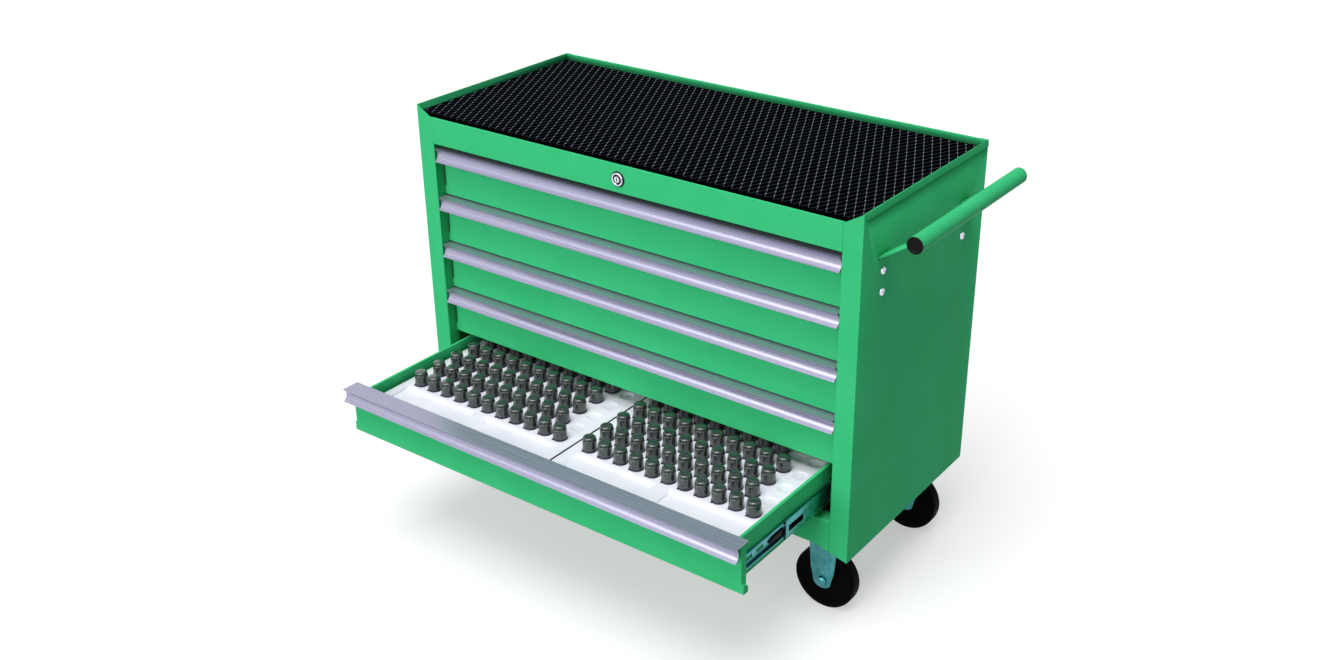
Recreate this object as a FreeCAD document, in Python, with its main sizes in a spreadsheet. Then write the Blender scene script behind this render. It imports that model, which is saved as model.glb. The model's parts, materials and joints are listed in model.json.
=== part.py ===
import FreeCAD, Part
import math
import os

import Sketcher

# Gauge storage case: a rolling steel cabinet with five full-width drawers, the lowest one pulled
# out to show its gauge trays, a push handle on the right side and four 5-inch casters.
# Case frame: x from the middle of the case to the right, y from the front plane of the stiles
# to the back, z up from the lower edge of the side panels. All lengths are in millimetres.

SIZES = {
    # Case
    "case_width": 1016.0,
    "case_depth": 458.0,
    "case_height": 679.0,
    "sheet": 1.2,
    "stile_width": 39.0,
    "stile_return": 28.0,
    "rear_flange": 16.0,
    "rim_height": 20.0,
    "rim_width": 3.6,
    "rim_hem": 10.5,
    "hem_groove": 1.5,
    "hem_start": 7.0,
    "rim_slope": 34.0,
    "fascia_height": 55.5,
    "fascia_return": 20.0,
    "sill_height": 75.5,
    "sill_clearance": 18.0,
    "foot_run": 67.0,
    "bottom_hem": 12.0,
    "mat_thickness": 7.0,
    "mat_gap": 0.6,
    # Uprights that carry the slides
    "upright_depth": 48.6,
    "upright_width": 40.0,
    "upright_lip": 10.0,
    "front_upright_place": 104.0,
    "rear_upright_place": 306.0,
    # Drawers
    "drawer_pitch": 103.0,
    "drawer_gap": 2.0,
    "sill_gap": 5.0,
    "face_recess": 20.3,
    "face_side_gap": 6.0,
    "front_depth": 15.0,
    "front_sheet": 1.0,
    "ear_width": 5.0,
    "ear_height": 18.0,
    "ear_depth": 14.0,
    "ear_radius": 7.0,
    "box_depth": 400.0,
    "box_height": 82.0,
    "box_rise": 9.0,
    "box_sheet": 1.0,
    "box_hem_width": 6.0,
    "box_hem_height": 8.0,
    "open_distance": 296.0,
    # Pull
    "pull_depth": 24.0,
    "pull_height": 26.6,
    "pull_wall": 1.5,
    "pull_hollow": 9.0,
    "pull_lip": 2.0,
    "pull_end_gap": 2.5,
    # Slides
    "slide_length": 406.0,
    "slide_height": 45.0,
    "slide_space": 12.7,
    "slide_steel": 1.2,
    "slide_rise": 40.0,
    "slide_start": 22.0,
    "ball_space": 1.8,
    # Trays and gauge jars
    "tray_level": 67.0,
    "tray_wall": 1.5,
    "tray_gap": 0.5,
    "trough_depth": 10.0,
    "trough_length": 78.0,
    "trough_margin": 18.0,
    "trough_web": 22.0,
    "jar_diameter": 29.0,
    "jar_height": 30.0,
    "jar_pitch": 36.7,
    "jar_row_pitch": 50.8,
    "first_row": 125.0,
    # Lock
    "lock_place": 28.7,
    "bezel_diameter": 29.5,
    "bezel_height": 4.0,
    "barrel_diameter": 19.0,
    "barrel_length": 24.0,
    "plug_diameter": 12.0,
    "lock_clearance": 0.05,
    "key_slot_width": 2.0,
    "key_slot_height": 7.2,
    "key_slot_depth": 12.0,
    "nut_across": 25.0,
    "nut_height": 4.0,
    "cam_reach": 18.0,
    "cam_width": 10.0,
    "cam_thickness": 2.0,
    "rod_size": 8.0,
    "rod_drop": 14.0,
    "bar_width": 20.0,
    "bar_thickness": 4.0,
    "bar_tab": 3.0,
    # Push handle
    "handle_reach": 80.0,
    "arm_angle": 33.3,
    "arm_width": 35.0,
    "arm_thickness": 5.0,
    "arm_flange": 82.0,
    "slot_place": 584.0,
    "slot_gap": 1.0,
    "front_arm_place": 72.5,
    "rear_arm_place": 374.5,
    "tube_radius": 15.0,
    "tube_wall": 1.6,
    "tube_start": 25.0,
    "tube_length": 397.0,
    "cap_thickness": 2.0,
    "cap_plug": 12.0,
    "bolt_drop": 29.0,
    "bolt_spacing": 39.0,
    "bolt_radius": 3.0,
    "bolt_head_radius": 6.0,
    "bolt_head_height": 3.5,
    "bolt_nut_across": 10.0,
    "bolt_nut_height": 5.0,
    "bolt_clearance": 0.3,
    # Casters
    "wheel_radius": 63.5,
    "wheel_width": 31.0,
    "wheel_hub_radius": 19.0,
    "wheel_hub_width": 36.0,
    "axle_radius": 5.0,
    "axle_clearance": 0.08,
    "caster_height": 160.0,
    "caster_inset": 75.0,
    "front_caster_place": 65.7,
    "rear_caster_place": 392.5,
    "plate_length": 95.0,
    "plate_width": 70.0,
    "plate_thickness": 3.0,
    "plate_bolt_length": 75.0,
    "plate_bolt_width": 50.0,
    "plate_hole": 8.5,
    "plate_nut_across": 13.0,
    "plate_head_across": 16.0,
    "plate_head_height": 4.0,
    "leg_thickness": 2.5,
    "leg_width": 52.0,
    "leg_tip_radius": 16.0,
    "leg_shoulder": 21.0,
    "leg_taper": 24.0,
    "leg_gap": 1.0,
    "rib_width": 26.0,
    "rib_tip_width": 13.0,
    "rib_height": 1.5,
    "axle_head_radius": 9.5,
    "axle_head_height": 5.0,
    "trail": 32.0,
    "race_radius": 30.0,
    "race_wall": 5.0,
    "race_height": 10.0,
    "race_gap": 0.5,
    "kingpin_radius": 6.0,
}

DRAWERS = 5
JAR_COLUMNS = 11
JAR_ROWS = 6
JAR_SIDES = 6
HEAD_SIDES = 8
ROUND_SIDES = 24
NUT_SIDES = 6

doc = FreeCAD.newDocument("gauge_storage_case")
sheet = doc.addObject("Spreadsheet::Sheet", "Sizes")
for row, (alias, length) in enumerate(SIZES.items(), start=1):
    sheet.set(f"A{row}", alias)
    sheet.set(f"B{row}", str(length))
    sheet.setAlias(f"B{row}", alias)
doc.recompute()


class Size:
    """A length: its value now, and the expression that keeps it tied to the sheet."""

    def __init__(self, value, text):
        self.value = float(value)
        self.text = text

    def __add__(self, other):
        other = as_size(other)
        return Size(self.value + other.value, f"({self.text} + {other.text})")

    def __sub__(self, other):
        other = as_size(other)
        return Size(self.value - other.value, f"({self.text} - {other.text})")

    def __rsub__(self, other):
        return as_size(other) - self

    def __mul__(self, other):
        other = as_size(other)
        return Size(self.value * other.value, f"({self.text} * {other.text})")

    def __truediv__(self, other):
        other = as_size(other)
        return Size(self.value / other.value, f"({self.text} / {other.text})")

    def __neg__(self):
        return Size(-self.value, f"(-1 * {self.text})")

    __radd__ = __add__
    __rmul__ = __mul__


def as_size(value):
    return value if isinstance(value, Size) else Size(value, f"({value})")


def size(alias):
    return Size(SIZES[alias], f"Sizes.{alias}")


def tangent(angle):
    return Size(math.tan(math.radians(angle.value)), f"tan({angle.text})")


def cosine(angle):
    return Size(math.cos(math.radians(angle.value)), f"cos({angle.text})")


def sine(angle):
    return Size(math.sin(math.radians(angle.value)), f"sin({angle.text})")


def root(square):
    return Size(math.sqrt(square.value), f"sqrt({square.text})")


# Places that several pieces share
half_width = size("case_width") / 2
depth = size("case_depth")
height = size("case_height")
steel = size("sheet")
back_face = depth - steel
stile_edge = half_width - size("stile_width")
deck = height - size("rim_height")
fascia_edge = deck - size("fascia_height")
upright_face = half_width - steel - size("upright_depth")
box_edge = upright_face - size("slide_space")
floor_clearance = size("caster_height") - steel
drawer_height = size("drawer_pitch") - size("drawer_gap")
face_edge = stile_edge - size("face_side_gap")
box_front = size("face_recess") + size("front_depth")
pull_front = size("face_recess") - size("pull_depth")
slot_place = size("slot_place")
tube_x = half_width + size("handle_reach")
tube_z = slot_place + size("handle_reach") * tangent(size("arm_angle"))
caster_x = half_width - size("caster_inset")
axle_z = size("wheel_radius") - floor_clearance
lock_z = deck - size("lock_place")
bolt_hole = size("bolt_radius") + size("bolt_clearance")

# The part's origin: under the middle of the overall box, on the floor
reach_right = size("handle_reach") + size("tube_radius")
reach_front = size("open_distance") - pull_front
origin_x = reach_right / 2
origin_y = (depth - reach_front) / 2

parts = []


def settle(item, place=(0, 0, 0)):
    """Carries a piece, modelled about a place in the case frame, to the part's origin."""
    shift = (-origin_x, -origin_y, floor_clearance)
    for axis, away, move in zip("xyz", place, shift):
        item.setExpression(f"Placement.Base.{axis}", (away + move).text)


def new_body(label, place=(0, 0, 0)):
    body = doc.addObject("PartDesign::Body", label)
    body.Label = label
    settle(body, place)
    parts.append(body)
    return body


def new_piece(name, place=(0, 0, 0)):
    """One of several equal pieces that share a node; the node itself is settled."""
    body = doc.addObject("PartDesign::Body", name)
    for axis, away in zip("xyz", place):
        body.setExpression(f"Placement.Base.{axis}", as_size(away).text)
    return body


def plane_of(body, role):
    return next(item for item in body.Origin.OriginFeatures if item.Role == role)


def new_sketch(body, role, offset):
    """A sketch on one of the body's own planes, moved by offset along the plane's normal."""
    sketch = body.newObject("Sketcher::SketchObject", "Sketch")
    sketch.AttachmentSupport = [(plane_of(body, role), "")]
    sketch.MapMode = "FlatFace"
    sketch.AttachmentOffset = FreeCAD.Placement(FreeCAD.Vector(0, 0, offset.value), FreeCAD.Rotation())
    sketch.setExpression("AttachmentOffset.Base.z", offset.text)
    return sketch


def tie(sketch, kind, places, length):
    index = sketch.addConstraint(Sketcher.Constraint(kind, *places, length.value))
    sketch.setExpression(f"Constraints[{index}]", length.text)


def pin_point(sketch, curve, end, point):
    tie(sketch, "DistanceX", (-1, 1, curve, end), point[0])
    tie(sketch, "DistanceY", (-1, 1, curve, end), point[1])


def draw_loop(sketch, points):
    """A closed outline. A point with a third value starts an arc of that radius, whose centre
    is to the left of the way on if the radius is positive."""
    spots = [FreeCAD.Vector(p[0].value, p[1].value, 0) for p in points]
    for number, point in enumerate(points):
        start = spots[number]
        end = spots[(number + 1) % len(points)]
        if len(point) == 2:
            curve = sketch.addGeometry(Part.LineSegment(start, end), False)
            first = 1
        else:
            chord = end - start
            radius = abs(point[2].value)
            side = math.copysign(1, point[2].value)
            left = FreeCAD.Vector(-chord.y, chord.x, 0).normalize() * side
            rise = math.sqrt(max(radius ** 2 - chord.Length ** 2 / 4, 0))
            centre = (start + end) / 2 + left * rise
            top = centre - left * radius
            curve = sketch.addGeometry(Part.Arc(start, top, end), False)
            first = 1 if side > 0 else 2
            tie(sketch, "Radius", (curve,), point[2] if side > 0 else -point[2])
        pin_point(sketch, curve, first, point)
        pin_point(sketch, curve, 3 - first, points[(number + 1) % len(points)])


def draw_circle(sketch, centre, radius):
    middle = FreeCAD.Vector(centre[0].value, centre[1].value, 0)
    curve = sketch.addGeometry(Part.Circle(middle, FreeCAD.Vector(0, 0, 1), radius.value), False)
    pin_point(sketch, curve, 3, centre)
    tie(sketch, "Radius", (curve,), radius)


def rectangle(low, high):
    return [low, (high[0], low[1]), high, (low[0], high[1])]


def square_about(x, y, across):
    return rectangle((x - across / 2, y - across / 2), (x + across / 2, y + across / 2))


def polygon(sides, across, x=0, y=0):
    """An outline of equal sides about a place, given its width over the flats."""
    step = as_size(360 / sides)
    corner = across / 2 / cosine(step / 2)
    return [(x + corner * cosine(step * turn), y + corner * sine(step * turn)) for turn in range(sides)]


def turned(radius, sides=ROUND_SIDES, x=0):
    """The outline of a small turned piece, drawn with flats between corners at its radius."""
    return polygon(sides, radius * 2 * cosine(as_size(180 / sides)), x)


def drilled(radius, x=0, y=0, sides=ROUND_SIDES):
    """A small drilled hole about a place, drawn with flats at its radius."""
    return polygon(sides, radius * 2, x, y)


def disc(radius, bore=None):
    """A round outline about the sketch's origin, with or without a bore."""
    centre = (as_size(0), as_size(0))
    return [(centre, radius)] + ([(centre, bore)] if bore is not None else [])


def fill(body, role, loops, start, length, circles=()):
    """Adds the outlines, drawn on a plane, from start over length along that plane's axis."""
    place = -(start + length) if role == "XZ_Plane" else start
    sketch = new_sketch(body, role, place)
    for loop in loops:
        draw_loop(sketch, loop)
    for centre, radius in circles:
        draw_circle(sketch, centre, radius)
    pad = body.newObject("PartDesign::Pad", "Pad")
    pad.Profile = sketch
    pad.Length = length.value
    pad.setExpression("Length", length.text)
    return pad


def cut(body, role, loops, start, length, circles=()):
    """Cuts the outlines away from start over length along the plane's axis."""
    place = -start if role == "XZ_Plane" else start + length
    doc.recompute()
    before = body.Shape.Volume
    sketch = new_sketch(body, role, place)
    for loop in loops:
        draw_loop(sketch, loop)
    for centre, radius in circles:
        draw_circle(sketch, centre, radius)
    pocket = body.newObject("PartDesign::Pocket", "Pocket")
    pocket.Profile = sketch
    pocket.Length = length.value
    pocket.setExpression("Length", length.text)
    doc.recompute()
    if body.Shape.Volume >= before:
        raise RuntimeError(f"{body.Label}: a cut takes nothing away")
    return pocket


def spin(body, role, points, axis="V_Axis"):
    """Turns an outline once round a sketch axis."""
    sketch = new_sketch(body, role, as_size(0))
    draw_loop(sketch, points)
    turn = body.newObject("PartDesign::Revolution", "Revolution")
    turn.Profile = sketch
    turn.ReferenceAxis = (sketch, [axis])
    turn.Angle = 360.0
    return turn


def gather(label, members):
    """One node of several separate solids."""
    group = doc.addObject("Part::Compound", label)
    group.Label = label
    group.Links = members
    settle(group)
    parts.append(group)
    return group


def both_sides():
    return (("left", -1), ("right", 1))


def foot_edge(distance):
    """The height of the slanted lower front edge at a distance from the side."""
    return size("sill_clearance") * distance / size("foot_run")


# Side panels: one sheet each, bent round at the front to the stile and round the back to a flange.
# Their upper edge is set in by the sheet and folded back outside, which leaves a groove.
hem_low = height - size("rim_hem")
groove_low = hem_low - size("hem_groove")
hem_back = back_face - steel * 2
for name, side in both_sides():
    panel = new_body(f"{name}_side_panel")
    outer = half_width * side
    inner = (half_width - steel) * side
    stile = stile_edge * side
    lip = (stile_edge + steel) * side
    flange = (half_width - size("rear_flange")) * side
    stile_back = size("stile_return")
    wrap = [
        (stile, as_size(0)), (outer, as_size(0)), (outer, depth), (flange, depth),
        (flange, depth - steel), (inner, depth - steel), (inner, steel), (lip, steel),
        (lip, stile_back), (stile, stile_back),
    ]
    fill(panel, "XY_Plane", [wrap], as_size(0), height)
    inside_hem = rectangle((inner, groove_low - steel), ((half_width - steel * 2) * side, height))
    fill(panel, "XZ_Plane", [inside_hem], steel, hem_back - steel)
    groove = rectangle((size("hem_start"), groove_low), (hem_back - steel, hem_low))
    cut(panel, "YZ_Plane", [groove], (half_width - steel / 2) * side - steel / 2, steel)
    hem = rectangle((inner, as_size(0)), ((half_width - size("bottom_hem")) * side, steel))
    fill(panel, "XZ_Plane", [hem], stile_back, depth - stile_back - steel * 2)
    slope_end = (half_width - size("rim_slope")) * side
    shoulder = [
        (outer, height), (slope_end, deck), (stile, deck), (stile, height),
    ]
    cut(panel, "XZ_Plane", [shoulder], as_size(0), steel)
    above_deck = rectangle((stile, deck - steel), (lip, height))
    cut(panel, "XZ_Plane", [above_deck], steel, stile_back - steel)
    foot = [
        (outer, as_size(0)), (stile, foot_edge(size("stile_width"))), (stile, as_size(0)),
    ]
    cut(panel, "XZ_Plane", [foot], as_size(0), stile_back)
    if side > 0:
        slot_half = size("arm_thickness") / 2 / cosine(size("arm_angle")) + size("slot_gap")
        rise_in_sheet = steel * tangent(size("arm_angle"))
        slots = []
        holes = []
        for place in ("front_arm_place", "rear_arm_place"):
            reach = size("arm_width") / 2 + size("slot_gap")
            slots.append(rectangle(
                (size(place) - reach, slot_place - slot_half - rise_in_sheet),
                (size(place) + reach, slot_place + slot_half),
            ))
            for turn in (0, 1):
                hole_z = slot_place - size("bolt_drop") - size("bolt_spacing") * turn
                holes.append(drilled(bolt_hole, size(place), hole_z, HEAD_SIDES))
        cut(panel, "YZ_Plane", slots + holes, half_width - steel, steel)

# Back panel, hemmed at the top, between the side panels and inside their rear flanges
back = new_body("back_panel")
back_section = [
    (back_face, as_size(0)), (back_face, height), (hem_back, height), (hem_back, hem_low),
    (back_face - steel, hem_low), (back_face - steel, as_size(0)),
]
inner_width = (half_width - steel) * 2
fill(back, "YZ_Plane", [back_section], steel - half_width, inner_width)

# Top panel: the deck, bent down at the front to the fascia that holds the lock
top = new_body("top_panel")
top_section = [
    (as_size(0), deck), (back_face - steel, deck), (back_face - steel, deck - steel),
    (steel, deck - steel), (steel, fascia_edge + steel), (size("fascia_return"), fascia_edge + steel),
    (size("fascia_return"), fascia_edge), (as_size(0), fascia_edge),
]
fill(top, "YZ_Plane", [top_section], -stile_edge, stile_edge * 2)
for name, side in both_sides():
    wing = rectangle((stile_edge * side, steel), ((half_width - steel) * side, back_face - steel))
    fill(top, "XY_Plane", [wing], deck - steel, steel)
lock_hole = ((as_size(0), lock_z), size("barrel_diameter") / 2 + size("lock_clearance"))
cut(top, "XZ_Plane", [], as_size(0), steel, [lock_hole])

# Bottom rail: a channel under the lowest drawer, whose ends run down into the corner feet
rail = new_body("bottom_rail")
rail_face = [
    (-stile_edge, size("sill_height")), (stile_edge, size("sill_height")),
    (stile_edge, foot_edge(size("stile_width"))),
    (half_width - size("foot_run"), size("sill_clearance")),
    (size("foot_run") - half_width, size("sill_clearance")),
    (-stile_edge, foot_edge(size("stile_width"))),
]
fill(rail, "XZ_Plane", [rail_face], as_size(0), steel)
flanges = (
    (size("sill_height") - steel, stile_edge),
    (size("sill_clearance"), half_width - size("foot_run")),
)
for low, reach in flanges:
    strip = rectangle((-reach, steel), (reach, size("stile_return")))
    fill(rail, "XY_Plane", [strip], low, steel)

# Base pan: the floor that the casters are bolted under
pan = new_body("base_pan")
pan_front = size("stile_return")
pan_section = [
    (pan_front, steel), (back_face - steel, steel), (back_face - steel, steel * 2),
    (pan_front + steel, steel * 2), (pan_front + steel, size("sill_clearance")),
    (pan_front, size("sill_clearance")),
]
fill(pan, "YZ_Plane", [pan_section], steel - half_width, inner_width)
caster_places = [
    (f"{end}_{name}", name, caster_x * side, size(f"{end}_caster_place"))
    for end in ("front", "rear") for name, side in both_sides()
]
plate_bolts = [
    (across * size("plate_bolt_length") / 2, along * size("plate_bolt_width") / 2)
    for across in (-1, 1) for along in (-1, 1)
]
pan_holes = [
    square_about(x + bolt_x, y + bolt_y, size("plate_hole"))
    for label, name, x, y in caster_places for bolt_x, bolt_y in plate_bolts
]
cut(pan, "XY_Plane", pan_holes, steel, steel)

# Rubber mat on the deck
mat = new_body("rubber_mat")
mat_edge = half_width - size("rim_width") - size("mat_gap")
mat_outline = rectangle((-mat_edge, steel), (mat_edge, depth - size("rim_width") - size("mat_gap")))
fill(mat, "XY_Plane", [mat_outline], deck, size("mat_thickness"))

# Slide uprights: four channels from the pan to the deck
uprights = []
upright_reach = half_width - steel - upright_face
for name, side in both_sides():
    for end in ("front", "rear"):
        start = size(f"{end}_upright_place")
        stop = start + size("upright_width")
        wall = (half_width - steel) * side
        face = upright_face * side
        face_back = (upright_face + steel) * side
        lip = (half_width - steel * 2) * side
        channel = [
            (wall, start - size("upright_lip")), (wall, start + steel), (face_back, start + steel),
            (face_back, stop - steel), (wall, stop - steel), (wall, stop + size("upright_lip")),
            (lip, stop + size("upright_lip")), (lip, stop), (face, stop), (face, start),
            (lip, start), (lip, start - size("upright_lip")),
        ]
        upright = new_piece(f"{end}_{name}_upright")
        fill(upright, "XY_Plane", [channel], steel * 2, deck - steel * 3)
        uprights.append(upright)
gather("slide_uprights", uprights)


def slide_section(side, centre, web, mouth, half):
    """A channel standing on its web, open towards its mouth."""
    back = web * side
    front = mouth * side
    skin = (web + size("slide_steel") * (1 if mouth.value > web.value else -1)) * side
    return [
        (back, centre - half), (front, centre - half), (front, centre - half + size("slide_steel")),
        (skin, centre - half + size("slide_steel")), (skin, centre + half - size("slide_steel")),
        (front, centre + half - size("slide_steel")), (front, centre + half), (back, centre + half),
    ]


outer_half = size("slide_height") / 2
middle_half = outer_half - size("slide_steel") - size("ball_space")
inner_half = middle_half - size("slide_steel") - size("ball_space")
middle_web = upright_face - size("slide_steel") - size("ball_space")
slide_mouth = box_edge + size("slide_steel")
box_back = box_front + size("box_depth")
rail_start = size("stile_return") + size("slide_steel")
case_members = []


def drawer_floor(number):
    """The lower edge of a drawer's face, counted from the top drawer as 1."""
    below = DRAWERS - number
    return size("sill_height") + size("sill_gap") + size("drawer_pitch") * below


def pull_profile(lift, out):
    """The extruded pull: a flat top flange, a hollow front and a lower lip."""
    wall = size("pull_wall")
    nose = pull_front - out
    top_z = lift + drawer_height
    low_z = top_z - size("pull_height")
    chord = size("pull_height") / 2
    bow = size("pull_hollow")
    radius = (chord * chord + bow * bow) / (bow * 2)
    back_radius = radius + wall
    half_back = chord - wall
    back_edge = nose + bow - radius + root(back_radius * back_radius - half_back * half_back)
    return [
        (nose, top_z, -radius), (nose, low_z), (back_edge + size("pull_lip"), low_z),
        (back_edge + size("pull_lip"), low_z + wall), (back_edge, low_z + wall, back_radius),
        (back_edge, top_z - wall), (box_front - out, top_z - wall), (box_front - out, top_z),
    ]


for number in range(1, DRAWERS + 1):
    out = size("open_distance") if number == DRAWERS else as_size(0)
    half_out = out / 2
    lift = drawer_floor(number)
    face_y = size("face_recess") - out
    front_top = lift + drawer_height - size("pull_wall")

    # Drawer front: a shallow pan with a tab at each lower corner
    front = new_body(f"drawer_{number}_front")
    skin = size("front_sheet")
    face = rectangle((-face_edge, lift), (face_edge, front_top))
    fill(front, "XZ_Plane", [face], face_y, size("front_depth"))
    hollow = rectangle((skin - face_edge, lift + skin), (face_edge - skin, front_top - skin))
    cut(front, "XZ_Plane", [hollow], face_y + skin, size("front_depth") - skin)
    ear = [
        (face_y, lift), (face_y + size("ear_depth"), lift),
        (face_y + size("ear_depth"), lift + size("ear_height") - size("ear_radius")),
        (face_y + size("ear_depth") - size("ear_radius"), lift + size("ear_height")),
        (face_y, lift + size("ear_height")),
    ]
    for start in (-face_edge - size("ear_width"), face_edge):
        fill(front, "YZ_Plane", [ear], start, size("ear_width"))

    # Pull along the top edge of the front
    pull = new_body(f"drawer_{number}_pull")
    pull_edge = stile_edge - size("pull_end_gap")
    fill(pull, "YZ_Plane", [pull_profile(lift, out)], -pull_edge, pull_edge * 2)

    # Drawer box with a hem rolled round its upper edge
    box = new_body(f"drawer_{number}_box")
    floor = lift + size("box_rise")
    wall = size("box_sheet")
    box_y = box_front - out
    box_end = box_back - out
    outline = rectangle((-box_edge, box_y), (box_edge, box_end))
    fill(box, "XY_Plane", [outline], floor, size("box_height"))
    inside = rectangle((wall - box_edge, box_y + wall), (box_edge - wall, box_end - wall))
    cut(box, "XY_Plane", [inside], floor + wall, size("box_height") - wall)
    hem_edge = box_edge - size("box_hem_width")
    hem_start = floor + size("box_height") - size("box_hem_height")
    for side in (-1, 1):
        hem = rectangle((hem_edge * side, box_y + wall), ((box_edge - wall) * side, box_end - wall))
        fill(box, "XY_Plane", [hem], hem_start, size("box_hem_height"))

    # Ball-bearing slides: the middle members move half as far as the drawer
    slide_z = lift + size("slide_rise")
    slide_y = size("slide_start")
    middle_members = []
    drawer_members = []
    for name, side in both_sides():
        outer_member = new_piece(f"case_member_{number}_{name}")
        case_mouth = slide_mouth + size("ball_space")
        outer_section = slide_section(side, slide_z, upright_face, case_mouth, outer_half)
        case_length = size("slide_length") + slide_y - rail_start
        fill(outer_member, "XZ_Plane", [outer_section], rail_start, case_length)
        case_members.append(outer_member)
        middle = new_piece(f"middle_member_{number}_{name}")
        middle_section = slide_section(side, slide_z, middle_web, slide_mouth, middle_half)
        fill(middle, "XZ_Plane", [middle_section], slide_y - half_out, size("slide_length"))
        middle_members.append(middle)
        inner = new_piece(f"drawer_member_{number}_{name}")
        inner_section = slide_section(
            side, slide_z, box_edge, middle_web - size("slide_steel") - size("ball_space"), inner_half
        )
        fill(inner, "XZ_Plane", [inner_section], box_front - out, size("slide_length") - size("front_depth"))
        drawer_members.append(inner)
    gather(f"drawer_{number}_middle_slides", middle_members)
    gather(f"drawer_{number}_inner_slides", drawer_members)
gather("case_slides", case_members)

# Gauge trays side by side in the open drawer, each a thin formed sheet with two finger troughs
lift = drawer_floor(DRAWERS)
out = size("open_distance")
tray_floor = lift + size("box_rise") + size("box_sheet")
tray_top = lift + size("tray_level")
tray_front = box_front + size("box_sheet") + size("tray_gap") - out
tray_back = box_back - size("box_sheet") - size("tray_gap") - out
tray_edge = box_edge - size("box_hem_width") - size("tray_gap")
tray_middle = (tray_edge + size("tray_gap")) / 2
trays = []
for name, side in both_sides():
    tray = new_piece(f"{name}_tray")
    edge = size("tray_gap") / 2 * side
    outline = rectangle((edge, tray_front), (tray_edge * side, tray_back))
    fill(tray, "XY_Plane", [outline], tray_floor, tray_top - tray_floor)
    trough_width = (tray_edge - size("tray_gap") - size("trough_margin") * 2 - size("trough_web")) / 2
    start = tray_front + size("trough_margin")
    stop = start + size("trough_length")
    trough_place = size("tray_gap") / 2 + size("trough_margin")
    troughs = []
    for place in (0, 1):
        near = (trough_place + (trough_width + size("trough_web")) * place) * side
        far = near + trough_width * side
        troughs.append(rectangle((near, start), (far, stop)))
    cut(tray, "XY_Plane", troughs, tray_top - size("trough_depth"), size("trough_depth"))
    skin = size("tray_wall")
    edge = (size("tray_gap") / 2 + skin) * side
    hollow = rectangle((edge, tray_front + skin), ((tray_edge - skin) * side, tray_back - skin))
    roof = tray_top - size("trough_depth") - skin
    cut(tray, "XY_Plane", [hollow], tray_floor, roof - tray_floor)
    trays.append(tray)
gather("gauge_trays", trays)


def jar_at(x, y):
    """A gauge jar as a plain upright prism that stands on its tray."""
    jar = doc.addObject("Part::Prism", "jar")
    jar.Polygon = JAR_SIDES
    jar.setExpression("Circumradius", (size("jar_diameter") / 2).text)
    jar.setExpression("Height", size("jar_height").text)
    for axis, away in zip("xyz", (x, y, tray_top)):
        jar.setExpression(f"Placement.Base.{axis}", away.text)
    return jar


# Gauge jars: the front row is full, and the last column is empty in the rows behind it
jars = []
for side in (-1, 1):
    for row in range(JAR_ROWS):
        for column in range(JAR_COLUMNS if row == 0 else JAR_COLUMNS - 1):
            jar_x = tray_middle * side + size("jar_pitch") * (column - (JAR_COLUMNS - 1) / 2)
            jar_y = size("face_recess") - out + size("first_row") + size("jar_row_pitch") * row
            jars.append(jar_at(jar_x, jar_y))
gather("gauge_jars", jars)

# Lock: a bezelled barrel, its nut behind the fascia, the turning core with its cam, and the bar
lock_place = (as_size(0), as_size(0), lock_z)
barrel_radius = size("barrel_diameter") / 2
core_radius = size("plug_diameter") / 2
core_bore = core_radius + size("lock_clearance")
barrel = new_body("lock_barrel", lock_place)
fill(barrel, "XZ_Plane", [turned(barrel_radius), drilled(core_bore)], as_size(0), size("barrel_length"))
bezel = [turned(size("bezel_diameter") / 2), drilled(core_bore)]
fill(barrel, "XZ_Plane", bezel, -size("bezel_height"), size("bezel_height"))
core = new_body("lock_core", lock_place)
core_length = size("bezel_height") + size("barrel_length")
fill(core, "XZ_Plane", [turned(core_radius)], -size("bezel_height"), core_length)
cam = rectangle((-core_radius, -size("cam_width") / 2), (size("cam_reach"), size("cam_width") / 2))
fill(core, "XZ_Plane", [cam], size("barrel_length"), size("cam_thickness"))
key_slot = rectangle(
    (-size("key_slot_width") / 2, -size("key_slot_height") / 2),
    (size("key_slot_width") / 2, size("key_slot_height") / 2),
)
cut(core, "XZ_Plane", [key_slot], -size("bezel_height"), size("key_slot_depth"))
nut = new_body("lock_nut", lock_place)
nut_bore = drilled(barrel_radius + size("lock_clearance"))
fill(nut, "XZ_Plane", [polygon(NUT_SIDES, size("nut_across")), nut_bore], steel, size("nut_height"))
bar = new_body("lock_bar")
rod_top = lock_z - size("rod_drop")
rod_low = rod_top - size("rod_size")
bar_front = box_back + size("bar_tab") * 2
bar_back = bar_front + size("bar_thickness")
rod = rectangle((-size("rod_size") / 2, rod_low), (size("rod_size") / 2, rod_top))
fill(bar, "XZ_Plane", [rod], size("barrel_length"), bar_front - size("barrel_length"))
upright_bar = rectangle((-size("bar_width") / 2, size("sill_height")), (size("bar_width") / 2, rod_top))
fill(bar, "XZ_Plane", [upright_bar], bar_front, size("bar_thickness"))
for number in range(1, DRAWERS + 1):
    tab_z = drawer_floor(number) + size("slide_rise")
    tab = rectangle((-size("bar_width") / 2, tab_z), (size("bar_width") / 2, tab_z + size("bar_tab")))
    fill(bar, "XZ_Plane", [tab], bar_front - size("bar_tab"), size("bar_tab"))

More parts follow.
